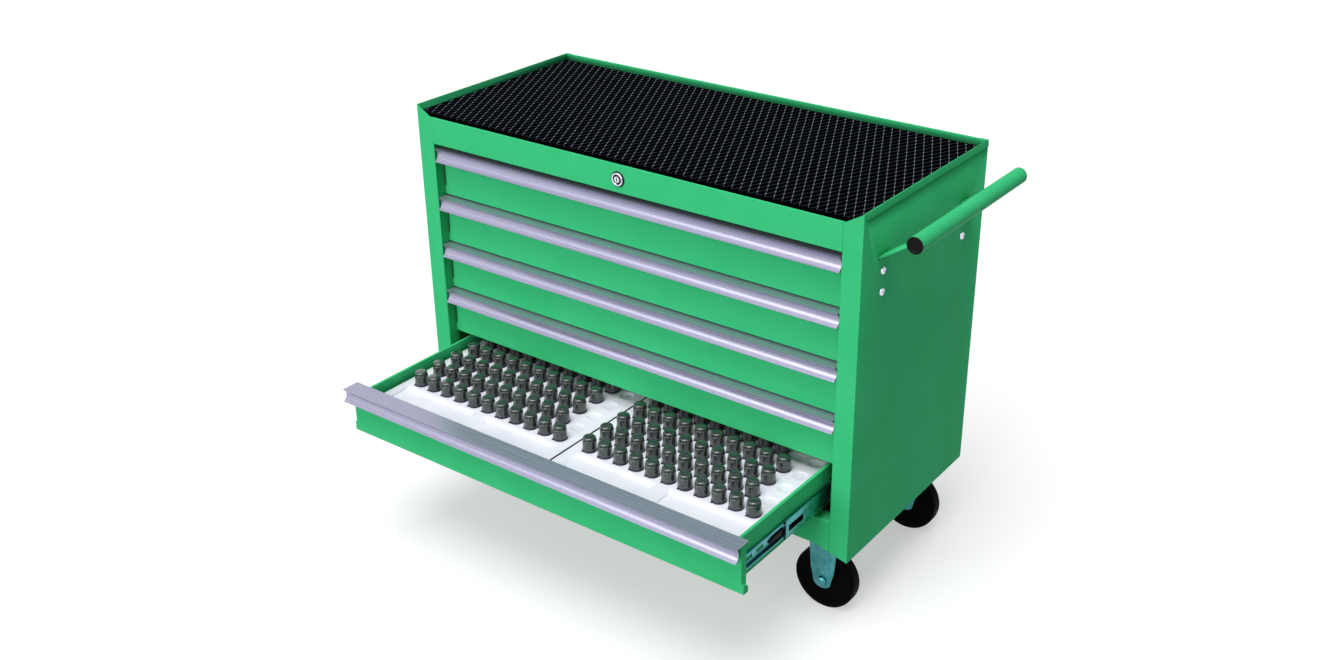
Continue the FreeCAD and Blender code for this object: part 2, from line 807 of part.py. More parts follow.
# Push handle: two flat arms that rise out of slots in the side panel to a tube
rise = size("arm_angle")
thick = size("arm_thickness")
behind = half_width - steel
lean = tangent(rise)
edge_drop = thick / 2 / cosine(rise)
flange_low = slot_place - size("arm_flange")
arms = []
for end in ("front", "rear"):
    arm = new_piece(f"{end}_handle_arm")
    arm_section = [
        (behind - thick, flange_low), (behind, flange_low),
        (behind, slot_place - steel * lean - edge_drop),
        (tube_x + sine(rise) * thick / 2, tube_z - cosine(rise) * thick / 2),
        (tube_x - sine(rise) * thick / 2, tube_z + cosine(rise) * thick / 2),
        (behind - thick, slot_place - (steel + thick) * lean + edge_drop),
    ]
    place = size(f"{end}_arm_place")
    start = place - size("arm_width") / 2
    fill(arm, "XZ_Plane", [arm_section], start, size("arm_width"))
    cut(arm, "XZ_Plane", [], start, size("arm_width"), [((tube_x, tube_z), size("tube_radius"))])
    hole_places = [slot_place - size("bolt_drop") - size("bolt_spacing") * turn for turn in (0, 1)]
    holes = [drilled(bolt_hole, place, hole_z, HEAD_SIDES) for hole_z in hole_places]
    cut(arm, "YZ_Plane", holes, behind - thick, thick)
    arms.append(arm)
gather("handle_arms", arms)
tube = new_body("handle_tube", (tube_x, as_size(0), tube_z))
bore = size("tube_radius") - size("tube_wall")
tube_end = size("tube_start") + size("tube_length")
fill(tube, "XZ_Plane", [], size("tube_start"), size("tube_length"), disc(size("tube_radius"), bore))
caps = []
plug = turned(bore - size("lock_clearance"))
for end, cap_start, plug_start in (
    ("front", size("tube_start") - size("cap_thickness"), size("tube_start")),
    ("rear", tube_end, tube_end - size("cap_plug")),
):
    cap = new_piece(f"{end}_cap", (tube_x, as_size(0), tube_z))
    fill(cap, "XZ_Plane", [turned(size("tube_radius"))], cap_start, size("cap_thickness"))
    fill(cap, "XZ_Plane", [plug], plug_start, size("cap_plug"))
    caps.append(cap)
gather("handle_end_caps", caps)
bolts = []
bolt_head = polygon(HEAD_SIDES, size("bolt_head_radius") * 2)
bolt_nut = polygon(NUT_SIDES, size("bolt_nut_across"))
grip = steel + thick
for end in ("front", "rear"):
    for turn in (0, 1):
        bolt_z = slot_place - size("bolt_drop") - size("bolt_spacing") * turn
        bolt = new_piece("handle_bolt", (half_width, size(f"{end}_arm_place"), bolt_z))
        fill(bolt, "YZ_Plane", [turned(size("bolt_radius"), HEAD_SIDES)], -grip, grip)
        fill(bolt, "YZ_Plane", [bolt_head], as_size(0), size("bolt_head_height"))
        fill(bolt, "YZ_Plane", [bolt_nut], -grip - size("bolt_nut_height"), size("bolt_nut_height"))
        bolts.append(bolt)
gather("handle_bolts", bolts)

# Casters: rigid ones under the handle end, swivelling ones under the other end.
# Each is modelled about the middle of its wheel.
plate_top = size("caster_height") - size("wheel_radius")
plate_under = plate_top - size("plate_thickness")
leg_inner = size("wheel_hub_width") / 2 + size("leg_gap")
leg_outer = leg_inner + size("leg_thickness")
tip = size("leg_tip_radius")
leg_half = size("leg_width") / 2


def wheel_at(label, place):
    """A moulded wheel with a hub that is longer than its tread is wide."""
    wheel = new_body(label, place)
    bore_radius = size("axle_radius") + size("axle_clearance")
    width = size("wheel_width")
    fill(wheel, "XZ_Plane", [], -width / 2, width, disc(size("wheel_radius"), bore_radius))
    width = size("wheel_hub_width")
    fill(wheel, "XZ_Plane", [turned(size("wheel_hub_radius"))], -width / 2, width, disc(bore_radius))
    return wheel


def axle_at(label, place):
    """The axle bolt with its head in front and its nut behind."""
    axle = new_body(label, place)
    end = polygon(HEAD_SIDES, size("axle_head_radius") * 2)
    fill(axle, "XZ_Plane", [turned(size("axle_radius"))], -leg_outer, leg_outer * 2)
    for start in (-leg_outer - size("axle_head_height"), leg_outer):
        fill(axle, "XZ_Plane", [end], start, size("axle_head_height"))
    return axle


def fork_legs(body, top_z, top_centre, top_half):
    """Two legs that taper to a round tip about the axle, each with a pressed rib outside."""
    taper = size("leg_taper")
    shoulder = size("leg_shoulder")
    outline = [
        (top_centre - top_half, top_z), (-shoulder, taper), (-tip, as_size(0), tip),
        (as_size(0), -tip, tip), (tip, as_size(0)), (shoulder, taper), (top_centre + top_half, top_z),
    ]
    rib_half = size("rib_width") / 2
    rib_tip = size("rib_tip_width") / 2
    rib = [
        (top_centre - rib_half, top_z), (-rib_half, tip * 2), (-rib_tip, tip), (rib_tip, tip),
        (rib_half, tip * 2), (top_centre + rib_half, top_z),
    ]
    hole = drilled(size("axle_radius"))
    for start, rib_start in (
        (-leg_outer, -leg_outer - size("rib_height")), (leg_inner, leg_outer)
    ):
        fill(body, "XZ_Plane", [outline, hole], start, size("leg_thickness"))
        fill(body, "XZ_Plane", [rib], rib_start, size("rib_height"))


def mounting_plate(body, middle, low, bores=()):
    """The bolted plate, with a square hole near each corner."""
    outline = rectangle(
        (middle - size("plate_length") / 2, -size("plate_width") / 2),
        (middle + size("plate_length") / 2, size("plate_width") / 2),
    )
    holes = [square_about(middle + x, y, size("plate_hole")) for x, y in plate_bolts]
    fill(body, "XY_Plane", [outline, *holes, *bores], low, size("plate_thickness"))


plate_bolts_group = []
carriage_head = polygon(HEAD_SIDES, size("plate_head_across"))
plate_nut = polygon(NUT_SIDES, size("plate_nut_across"))
nut_height = size("bolt_nut_height")
for label, name, x, y in caster_places:
    swivels = name == "left"
    wheel_x = x + size("trail") if swivels else x
    place = (wheel_x, y, axle_z)
    wheel_at(f"{label}_wheel", place)
    axle_at(f"{label}_axle", place)
    fork = new_body(f"{label}_fork" if swivels else f"{label}_bracket", place)
    zero = as_size(0)
    if swivels:
        plate = new_body(f"{label}_swivel_plate", place)
        middle = -size("trail")
        mounting_plate(plate, middle, plate_under, [drilled(size("kingpin_radius"), middle)])
        race_low = plate_under - size("race_height")
        race = size("race_radius")
        ring = [drilled(race, middle), drilled(race - size("race_wall"), middle)]
        fill(plate, "XY_Plane", ring, race_low + size("race_gap"), size("race_height") - size("race_gap"))
        crown_top = race_low
        crown_low = crown_top - size("plate_thickness")
        crown = [
            (middle - leg_half, -leg_outer), (middle + leg_half, -leg_outer),
            (middle + leg_half, leg_outer), (middle - leg_half, leg_outer),
        ]
        fill(fork, "XY_Plane", [crown], crown_low, size("plate_thickness"))
        pin_radius = size("kingpin_radius") - size("axle_clearance")
        pin = [turned(pin_radius, x=middle)]
        fill(fork, "XY_Plane", pin, crown_top, plate_top - crown_top - size("race_gap"))
        fork_legs(fork, crown_low, middle, leg_half)
    else:
        mounting_plate(fork, zero, plate_under)
        fork_legs(fork, plate_under, zero, leg_half)
    for bolt_x, bolt_y in plate_bolts:
        bolt = new_piece("plate_bolt", (x + bolt_x, y + bolt_y, steel))
        neck = square_about(zero, zero, size("plate_hole") - size("bolt_clearance") * 2)
        fill(bolt, "XY_Plane", [neck], -size("plate_thickness"), size("plate_thickness") + steel)
        fill(bolt, "XY_Plane", [carriage_head], steel, size("plate_head_height"))
        fill(bolt, "XY_Plane", [plate_nut], -size("plate_thickness") - nut_height, nut_height)
        plate_bolts_group.append(bolt)
gather("caster_bolts", plate_bolts_group)

doc.recompute()
failed = [item for item in doc.Objects if "Invalid" in item.State or "Error" in item.State]
if failed:
    names = [f"{item.Name} of {', '.join(user.Label for user in item.InList)}" for item in failed]
    raise RuntimeError("did not build: " + "; ".join(names))
os.makedirs("parts", exist_ok=True)
for part in parts:
    if part.Shape.isNull() or not part.Shape.isValid():
        raise RuntimeError(f"{part.Label} has no valid shape")
for part in parts:
    part.Shape.exportStep(os.path.join("parts", f"{part.Label}.step"))
    box = part.Shape.BoundBox
    print(f"{part.Label}: {len(part.Shape.Solids)} solids, {part.Shape.Volume / 1000:.1f} cm3, "
          f"x {box.XMin:.1f} to {box.XMax:.1f}, y {box.YMin:.1f} to {box.YMax:.1f}, "
          f"z {box.ZMin:.1f} to {box.ZMax:.1f}")
print(len(parts), "nodes")
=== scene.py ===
# %% [markdown]
# # Gauge storage case
# A rolling steel cabinet with five drawers on ball-bearing slides. The lowest drawer is pulled
# out and shows two white formed trays full of smoky jars. A ribbed rubber mat lies on top, a
# push handle stands out at the right, and four casters carry it all.
#
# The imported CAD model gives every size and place. This lesson gives each piece the shape and
# the finish that the eye expects of the real thing.

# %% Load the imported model
import json
import math

import bmesh
import bpy
from mathutils import Matrix, Vector

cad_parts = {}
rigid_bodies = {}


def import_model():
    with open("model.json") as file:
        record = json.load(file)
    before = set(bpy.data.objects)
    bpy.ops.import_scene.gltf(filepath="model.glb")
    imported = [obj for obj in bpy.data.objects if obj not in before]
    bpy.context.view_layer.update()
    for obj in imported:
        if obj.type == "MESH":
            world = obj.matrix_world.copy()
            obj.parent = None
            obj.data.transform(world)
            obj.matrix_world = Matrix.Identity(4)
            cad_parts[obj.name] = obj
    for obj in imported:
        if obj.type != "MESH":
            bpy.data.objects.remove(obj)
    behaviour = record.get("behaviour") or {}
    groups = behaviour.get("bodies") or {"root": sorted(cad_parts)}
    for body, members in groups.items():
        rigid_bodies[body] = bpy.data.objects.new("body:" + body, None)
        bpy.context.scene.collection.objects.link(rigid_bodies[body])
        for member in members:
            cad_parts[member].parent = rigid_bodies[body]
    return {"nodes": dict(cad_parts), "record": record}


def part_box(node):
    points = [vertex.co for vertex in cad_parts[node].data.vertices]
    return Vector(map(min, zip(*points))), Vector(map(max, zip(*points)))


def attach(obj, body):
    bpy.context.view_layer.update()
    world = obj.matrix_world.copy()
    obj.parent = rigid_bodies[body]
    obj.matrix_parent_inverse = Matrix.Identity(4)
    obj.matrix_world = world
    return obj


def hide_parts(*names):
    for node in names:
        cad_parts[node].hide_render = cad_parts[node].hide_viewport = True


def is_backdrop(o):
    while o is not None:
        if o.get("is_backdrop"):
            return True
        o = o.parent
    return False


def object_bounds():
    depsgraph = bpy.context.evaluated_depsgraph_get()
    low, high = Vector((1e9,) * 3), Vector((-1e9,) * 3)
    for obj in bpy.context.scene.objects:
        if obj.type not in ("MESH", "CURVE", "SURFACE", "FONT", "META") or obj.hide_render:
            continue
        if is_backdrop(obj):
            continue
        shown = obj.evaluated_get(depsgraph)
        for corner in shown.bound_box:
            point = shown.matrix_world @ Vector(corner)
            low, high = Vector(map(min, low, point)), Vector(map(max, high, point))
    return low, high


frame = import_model()
cad_low, cad_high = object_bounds()
print("CAD nodes:", len(frame["nodes"]), "box:", tuple(cad_low), tuple(cad_high))

# %% [markdown]
# ## Places on the case
# Drawings of sheet metal start from one corner. Here every place is given in millimetres to the
# right of the case's middle, behind its front and above the side panels' lower edge, and one
# function turns it to metres in the model's frame.

# %% Places on the case
MM = 0.001
left_low, left_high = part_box("left_side_panel")
right_low, right_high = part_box("right_side_panel")
CORNER = Vector(((left_low.x + right_high.x) / 2, right_low.y, right_low.z))
HALF_WIDTH = (right_high.x - left_low.x) / 2 / MM
DEPTH = (right_high.y - right_low.y) / MM
HEIGHT = (right_high.z - right_low.z) / MM


def at(x, y, z):
    """A place on the case, in metres."""
    return CORNER + Vector((x, y, z)) * MM


def on_case(place):
    """The same the other way round: a point of the model in the case's millimetres."""
    return (place - CORNER) / MM


def case_box(node):
    """A node's lowest and highest corner in the case's millimetres."""
    low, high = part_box(node)
    return on_case(low), on_case(high)


print(f"case: {HALF_WIDTH * 2:.0f} wide, {DEPTH:.0f} deep, {HEIGHT:.0f} high, in mm")

# %% [markdown]
# ## Working as at the bench
# Blender's operators act on whatever is selected, so each step first clears the selection, then
# picks one piece, and in edit mode picks its faces, edges or corners by where they are. These
# small helpers do that and nothing else.

# %% Pick a piece and its parts
MODES = {"faces": "FACE", "edges": "EDGE", "verts": "VERT"}


def deselect():
    if bpy.context.object and bpy.context.object.mode != "OBJECT":
        bpy.ops.object.mode_set(mode="OBJECT")
    bpy.ops.object.select_all(action="DESELECT")


def only(*pieces):
    """Selects these pieces alone; the first one is the active one."""
    deselect()
    for piece in pieces:
        piece.select_set(True)
    bpy.context.view_layer.objects.active = pieces[0]
    return pieces[0]


def edit(piece):
    only(piece)
    bpy.ops.object.mode_set(mode="EDIT")
    bpy.ops.mesh.select_all(action="DESELECT")


def done():
    bpy.ops.object.mode_set(mode="OBJECT")
    return bpy.context.object


def pick(kind, test):
    """In edit mode, selects the faces, edges or corners that pass a test, and counts them."""
    bpy.ops.mesh.select_mode(type=MODES[kind])
    bpy.ops.mesh.select_all(action="DESELECT")
    shape = bmesh.from_edit_mesh(bpy.context.object.data)
    chosen = [part for part in getattr(shape, kind) if test(part)]
    for part in chosen:
        part.select_set(True)
    bmesh.update_edit_mesh(bpy.context.object.data)
    return len(chosen)


def on(tolerance=0.05, **places):
    """A test for the parts that lie at these places of the case, such as on(x=508, z=679)."""

    def test(part):
        corners = [part] if isinstance(part, bmesh.types.BMVert) else part.verts
        spots = [on_case(corner.co) for corner in corners]
        return all(
            abs(getattr(spot, axis) - value) < tolerance
            for spot in spots
            for axis, value in places.items()
        )

    return test


deselect()
print("selected after loading:", len(bpy.context.selected_objects))

# %% [markdown]
# ## Round pieces, blocks and rows
# A lathe makes a round piece from its outline, so the helper for round pieces starts from one
# ring and extrudes and scales it from step to step along the outline. A closed outline, such as
# a wheel's with its bore, comes back to its first ring, and the others end in a flat face or a
# point. Repeated pieces are modelled once and set out with an Array modifier.

# %% Turn, place and repeat
TURNS = {
    "up": (0, 0, 0),
    "front": (math.radians(90), 0, 0),
    "back": (math.radians(-90), 0, 0),
    "right": (0, math.radians(90), 0),
}


def turned(name, sides, rings, closed=False):
    """A round piece about the z axis. Each ring is (radius, height) in millimetres."""
    radius, height = rings[0]
    bpy.ops.mesh.primitive_circle_add(
        vertices=sides,
        radius=radius * MM,
        fill_type="NOTHING" if closed else "NGON",
        location=(0, 0, height * MM),
    )
    piece = bpy.context.object
    piece.name = name
    piece.data.name = name
    bpy.ops.object.transform_apply(location=True, rotation=True, scale=True)
    edit(piece)
    bpy.ops.mesh.select_mode(type="EDGE" if closed else "FACE")
    bpy.ops.mesh.select_all(action="SELECT")
    for next_radius, next_height in rings[1:] + (rings[:1] if closed else []):
        step = (0, 0, (next_height - height) * MM)
        bpy.ops.mesh.extrude_region_move(TRANSFORM_OT_translate={"value": step})
        if next_radius == 0:
            bpy.ops.mesh.merge(type="CENTER")
        else:
            share = next_radius / radius
            bpy.ops.transform.resize(
                value=(share, share, 1), center_override=(0, 0, next_height * MM)
            )
        radius, height = next_radius, next_height
    bpy.ops.mesh.select_all(action="SELECT")
    bpy.ops.mesh.remove_doubles(threshold=0.002 * MM)
    bpy.ops.mesh.normals_make_consistent(inside=False)
    return done()


def lay(piece, place, way="up"):
    """Turns a piece from the z axis to where it points, and moves it to its place."""
    only(piece)
    piece.rotation_euler = TURNS[way]
    piece.location = place
    bpy.ops.object.transform_apply(location=True, rotation=True, scale=True)
    return piece


def block(name, low, high):
    """A block between two corners of the case's frame, as a start for further shaping."""
    low, high = at(*low), at(*high)
    bpy.ops.mesh.primitive_cube_add(size=1, location=(low + high) / 2, scale=high - low)
    piece = bpy.context.object
    piece.name = name
    piece.data.name = name
    bpy.ops.object.transform_apply(location=True, rotation=True, scale=True)
    return piece


def modify(piece, kind, **settings):
    """Adds a modifier and applies it."""
    only(piece)
    modifier = piece.modifiers.new(kind.title(), kind)
    for name, value in settings.items():
        setattr(modifier, name, value)
    bpy.ops.object.modifier_apply(modifier=modifier.name)
    return piece


def repeat(piece, count, step):
    """Sets a piece out in a row; step is in millimetres."""
    return modify(
        piece,
        "ARRAY",
        count=count,
        use_relative_offset=False,
        use_constant_offset=True,
        constant_offset_displace=Vector(step) * MM,
    )


def copied(piece, shift=(0, 0, 0), name=None):
    """A copy with a mesh of its own, moved by shift in millimetres."""
    only(piece)
    bpy.ops.object.duplicate(linked=False)
    copy = bpy.context.object
    copy.name = name or piece.name
    copy.location = Vector(shift) * MM
    bpy.ops.object.transform_apply(location=True, rotation=True, scale=True)
    return copy


def joined(name, pieces):
    only(*pieces)
    if len(pieces) > 1:
        bpy.ops.object.join()
    pieces[0].name = name
    pieces[0].data.name = name
    return pieces[0]


trial = turned("trial", 8, [(4, 0), (4, 2), (0, 3)])
print("a trial piece has", len(trial.data.polygons), "faces and", len(trial.data.vertices), "corners")
bpy.data.objects.remove(trial)

# %% [markdown]
# ## Edges of folded sheet
# A folded sheet never has a knife edge: the press leaves a bend of about the sheet's thickness,
# and that bend is the bright line along every corner of a real cabinet. The CAD solids have
# sharp bends, so a visible panel is copied, its loose triangles are merged to whole faces, and
# the bends get a small bevel. The copy then stands for the CAD node.

# %% Copy a CAD node and round its bends
def taken(node, name):
    """A copy of a CAD node with whole faces and no ties to it."""
    only(frame["nodes"][node])
    bpy.ops.object.duplicate(linked=False)
    piece = bpy.context.object
    bpy.ops.object.parent_clear(type="CLEAR_KEEP_TRANSFORM")
    for key in list(piece.keys()):
        del piece[key]
    piece.name = name
    piece.data.name = name
    edit(piece)
    bpy.ops.mesh.select_all(action="SELECT")
    bpy.ops.mesh.remove_doubles(threshold=0.002 * MM)
    bpy.ops.mesh.dissolve_limited(angle_limit=math.radians(0.5))
    return done()


def round_bends(piece, radius, tests, segments=3):
    """Rounds the edges that pass one of the tests; radius is in millimetres."""
    edit(piece)
    sharp = math.radians(20)
    found = pick(
        "edges",
        lambda edge: len(edge.link_faces) == 2
        and edge.calc_face_angle() > sharp
        and any(test(edge) for test in tests),
    )
    if found:
        bpy.ops.mesh.bevel(
            offset=radius * MM,
            offset_type="OFFSET",
            segments=segments,
            affect="EDGES",
            clamp_overlap=False,
        )
    done()
    return found


def hand_over(piece, body, slot, finish, *nodes):
    """Gives a finished piece its finish, if one is given, and smooth shading, sets it on the body it
    rides on and hides the nodes that it stands for.
    """
    only(piece)
    bpy.ops.object.transform_apply(location=True, rotation=True, scale=True)
    bpy.ops.object.shade_smooth_by_angle(angle=math.radians(32))
    if finish is not None:
        piece.data.materials.clear()
        piece.data.materials.append(finish)
    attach(piece, body)
    if nodes:
        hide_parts(*nodes)
    faces = sum(len(face.vertices) - 2 for face in piece.data.polygons)
    print(f"{piece.name}: {faces} triangles, rides on {body}")
    return piece


print("bends of", 1.8, "mm on panels of", 1.2, "mm sheet")

# %% [markdown]
# ## Colours and nodes
# Paint makers give colours as sRGB values, while a shader works in linear light, so one function
# turns the one into the other. A second one adds a node with its settings and its links. Pattern
# scales are worked out from a real size: a noise texture's scale is one over its grain's width.

# %% Start a material and add nodes
def linear(code):
    """An sRGB hex colour in linear light."""
    shares = [int(code[place : place + 2], 16) / 255 for place in (0, 2, 4)]
    return tuple(
        share / 12.92 if share <= 0.04045 else ((share + 0.055) / 1.055) ** 2.4
        for share in shares
    ) + (1.0,)


def grain(width):
    """The scale of a pattern whose grain is this many millimetres wide."""
    return 1 / (width * MM)


def add(finish, kind, sockets=None, **settings):
    """Adds a node. A socket's value is a number, a colour or another node's output."""
    node = finish.node_tree.nodes.new("ShaderNode" + kind)
    for name, value in settings.items():
        setattr(node, name, value)
    for name, value in (sockets or {}).items():
        if isinstance(value, bpy.types.NodeSocket):
            finish.node_tree.links.new(value, node.inputs[name])
        else:
            node.inputs[name].default_value = value
    return node


def begin(name, **values):
    """A material with its main shader's plain values set."""
    finish = bpy.data.materials.new(name)
    finish.use_nodes = True
    shader = finish.node_tree.nodes["Principled BSDF"]
    for socket, value in values.items():
        shader.inputs[socket.replace("_", " ")].default_value = value
    return finish, shader


def wire(finish, output, socket):
    finish.node_tree.links.new(output, socket)


print("mint green #3BC483 in linear light:", [round(share, 3) for share in linear("3BC483")[:3]])

# %% [markdown]
# ## Tone and skin
# No real surface is one flat colour. The tone of every finish drifts between two near colours, in
# patches as wide as the real ones, and its skin has fine grain that the light catches. Both are
# read from the piece's own coordinates, in millimetres, so they stay on it when it moves.

# %% Drifting tone and fine skin
def patches(finish, width, stretch=(1, 1, 1), detail=2.0):
    """A share from 0 to 1 that drifts in patches this wide; stretch draws them out on an axis."""
    spot = add(finish, "TexCoord").outputs["Object"]
    laid = add(finish, "Mapping", {"Vector": spot, "Scale": [1 / share for share in stretch]})
    sockets = {"Vector": laid.outputs["Vector"], "Scale": grain(width), "Detail": detail}
    cloud = add(finish, "TexNoise", sockets)
    share = add(finish, "MapRange", {"Value": cloud.outputs["Fac"], 1: 0.3, 2: 0.7})
    return share.outputs["Result"]


def toned(finish, shader, share, dark, light):
    """Lets the colour drift between two tones."""
    tone = add(finish, "Mix", {0: share, 6: linear(dark), 7: linear(light)}, data_type="RGBA")
    wire(finish, tone.outputs[2], shader.inputs["Base Color"])


def skinned(finish, shader, share, depth, smooth, rough):
    """Lets the skin dent by a depth in millimetres, and its roughness drift."""
    if depth:
        dent = add(finish, "Bump", {"Height": share, "Distance": depth * MM, "Strength": 1.0})
        wire(finish, dent.outputs["Normal"], shader.inputs["Normal"])
    drift = add(finish, "MapRange", {"Value": share, 3: smooth, 4: rough})
    wire(finish, drift.outputs["Result"], shader.inputs["Roughness"])


# %% [markdown]
# ## Baked green enamel
# The steel is coated with an acrylic enamel that is sprayed on and baked. It is glossy, but the
# spray leaves a faint orange-peel skin, a few millimetres from crest to crest, which softens
# what it mirrors. The pigment is strong and reaches the skin, so even the gloss is greenish.

# %% Baked enamel on steel
enamel, shader = begin(
    "baked_acrylic_enamel",
    IOR=1.45,
    Specular_IOR_Level=0.01,
    Specular_Tint=linear("A0FFC8"),
)
toned(enamel, shader, patches(enamel, 90, detail=3.0), "3ABF79", "40C37F")
skinned(enamel, shader, patches(enamel, 3.5, detail=1.0), 0.03, 0.3, 0.38)
print(enamel.name, "has", len(enamel.node_tree.nodes), "nodes")

# %% [markdown]
# ## Anodised aluminium
# The pulls are cut from an extruded bar and anodised clear. The die leaves fine lines along the
# bar, and the thick oxide skin scatters most of the light, so the bar is a soft violet grey
# instead of a mirror. The lines are a few tenths of a millimetre apart, too fine for the
# picture, so they are drawn about a millimetre wide.

# %% Anodised extruded aluminium
aluminium, shader = begin("anodised_aluminium", Metallic=0.6)
die_lines = patches(aluminium, 1.0, stretch=(400, 1, 1))
toned(aluminium, shader, die_lines, "A09EB4", "AEACC4")
skinned(aluminium, shader, die_lines, 0.01, 0.24, 0.34)
print(aluminium.name, "has", len(aluminium.node_tree.nodes), "nodes")

# %% [markdown]
# ## Zinc plate and chrome
# Slides, forks and bolts are pressed from steel and zinc plated with a clear blue passivation.
# It is bright and bluish, with a faint cloudiness where the crystals differ, and its tones are
# darkened to teal, a painted reflection of the green case round it. The lock and the handle's
# screws are chromed, which is brighter and smoother. The lock's sunk core, and its bezel outside
# the rolled crown, are painted dark, a painted shade.

# %% Blue zinc plate
zinc, shader = begin("blue_zinc_plate", Metallic=1.0)
crystals = patches(zinc, 14, detail=2.0)
# Both tones are a teal that is partly a painted reflection of the green case.
toned(zinc, shader, crystals, "3C878C", "55A0A4")
skinned(zinc, shader, crystals, 0, 0.22, 0.3)
chrome, shader = begin("bright_chrome", Metallic=1.0)
polish = patches(chrome, 2)
toned(chrome, shader, polish, "C4C4D2", "E4E4EE")
skinned(chrome, shader, polish, 0, 0.08, 0.14)
# Dark steel for the lock's sunk core and the bezel off its crown: painted shade.
shade_steel, shader = begin("lock_core_painted_shade", Metallic=0.9)
core_shade_drift = patches(shade_steel, 3)
toned(shade_steel, shader, core_shade_drift, "1C1A26", "34303F")
skinned(shade_steel, shader, core_shade_drift, 0, 0.2, 0.3)
print(zinc.name, chrome.name, shade_steel.name)

# %% [markdown]
# ## Rubber and black plastic
# The mat and the tyres are moulded black rubber. New rubber is nearly black with a soft gloss.
# The mat's ribs are painted lighter than its ground, the more the higher they stand: a painted
# highlight of the light that glints along them. The height is read from the piece's own
# coordinates.

# %% Moulded rubber
MAT_LOW, MAT_HIGH = case_box("rubber_mat")
RIB_HEIGHT = 1.1
ground = at(0, 0, MAT_HIGH.z - RIB_HEIGHT).z
mat_rubber, shader = begin("moulded_rubber_mat", IOR=1.52, Specular_IOR_Level=0.0)
spot = add(mat_rubber, "TexCoord").outputs["Object"]
height = add(mat_rubber, "SeparateXYZ", {0: spot}).outputs["Z"]
# Painted highlight: the higher a crest stands, the more of the light bluish grey it gets.
sockets = {"Value": height, 1: ground + 0.55 * MM, 2: ground + RIB_HEIGHT * MM}
crest = add(mat_rubber, "MapRange", sockets).outputs["Result"]
toned(mat_rubber, shader, crest, "020204", "8C97A6")
skinned(mat_rubber, shader, patches(mat_rubber, 1.5), 0.05, 0.6, 0.75)
tyre, shader = begin("moulded_rubber_tyre", IOR=1.52, Specular_IOR_Level=0.02)
scuffs = patches(tyre, 12, detail=4.0)
toned(tyre, shader, scuffs, "010101", "050506")
skinned(tyre, shader, scuffs, 0.06, 0.42, 0.55)
black_plastic, shader = begin("moulded_black_polyethylene", IOR=1.51, Specular_IOR_Level=0.08)
flow = patches(black_plastic, 4)
toned(black_plastic, shader, flow, "050507", "0F0F12")
skinned(black_plastic, shader, flow, 0.02, 0.36, 0.46)
print(mat_rubber.name, tyre.name, black_plastic.name)

# %% [markdown]
# ## Formed white sheet
# The trays are vacuum-formed from white high-impact polystyrene. The sheet is slightly
# translucent, so light bleeds a little round its soft edges, and its tone drifts where it was
# stretched over the mould.

# %% Vacuum-formed polystyrene
tray_white, shader = begin(
    "formed_white_polystyrene", IOR=1.5, Subsurface_Weight=0.06, Subsurface_Scale=0.004
)
toned(tray_white, shader, patches(tray_white, 60), "EFEDFA", "F8F6FF")
skinned(tray_white, shader, patches(tray_white, 5), 0.03, 0.33, 0.42)
print(tray_white.name)

# %% [markdown]
# ## Smoked jars
# Each jar is injection-moulded in smoke-grey styrene. A part of the light goes through it and
# comes out darker and a little green, so the material is part transmission and part plain
# plastic under a clear gloss. The foot is opaque black with a violet cast.

# %% Smoke-grey styrene
smoke, shader = begin(
    "smoke_grey_styrene",
    IOR=1.59,
    Transmission_Weight=0.15,
    Specular_IOR_Level=0.5,
    Coat_Weight=0.6,
    Coat_Roughness=0.04,
)
haze = patches(smoke, 20)
toned(smoke, shader, haze, "2A332F", "3C4742")
skinned(smoke, shader, haze, 0, 0.1, 0.16)
jar_foot, shader = begin("black_styrene_foot", IOR=1.5)
sheen = patches(jar_foot, 5)
toned(jar_foot, shader, sheen, "0E0620", "1E1038")
skinned(jar_foot, shader, sheen, 0.01, 0.26, 0.36)
print(smoke.name, jar_foot.name)

# %% [markdown]
# ## Finishes on the CAD nodes
# Every node that stays as it is gets the finish of its material slot.

# %% Give each CAD node its finish
SLOT_FINISHES = {
    "green_enamel": enamel,
    "aluminium_pull": aluminium,
    "zinc_plate": zinc,
    "black_rubber": mat_rubber,
    "wheel_rubber": tyre,
    "white_tray": tray_white,
    "jar_plastic": smoke,
    "lock_chrome": chrome,
    "black_plastic": black_plastic,
}
slots = {row["node"]: row["material_slot"] for row in frame["record"]["subparts"]}
for name, node in frame["nodes"].items():
    node.data.materials.clear()
    node.data.materials.append(SLOT_FINISHES[slots[name]])
print(len(slots), "nodes with", len(set(slots.values())), "finishes")

# %% [markdown]
# ## Case panels
# The side panels, deck, back and bottom rail are folded from 1.2 mm steel. Only the folds that
# face outwards are seen, so those edges get the bend radius and the rest stay as they are. The
# upper edge of each side is hemmed. Its fold is round, and on the right it leans out a little
# over the groove below it. On the left it stands straight, so that the case keeps its width.

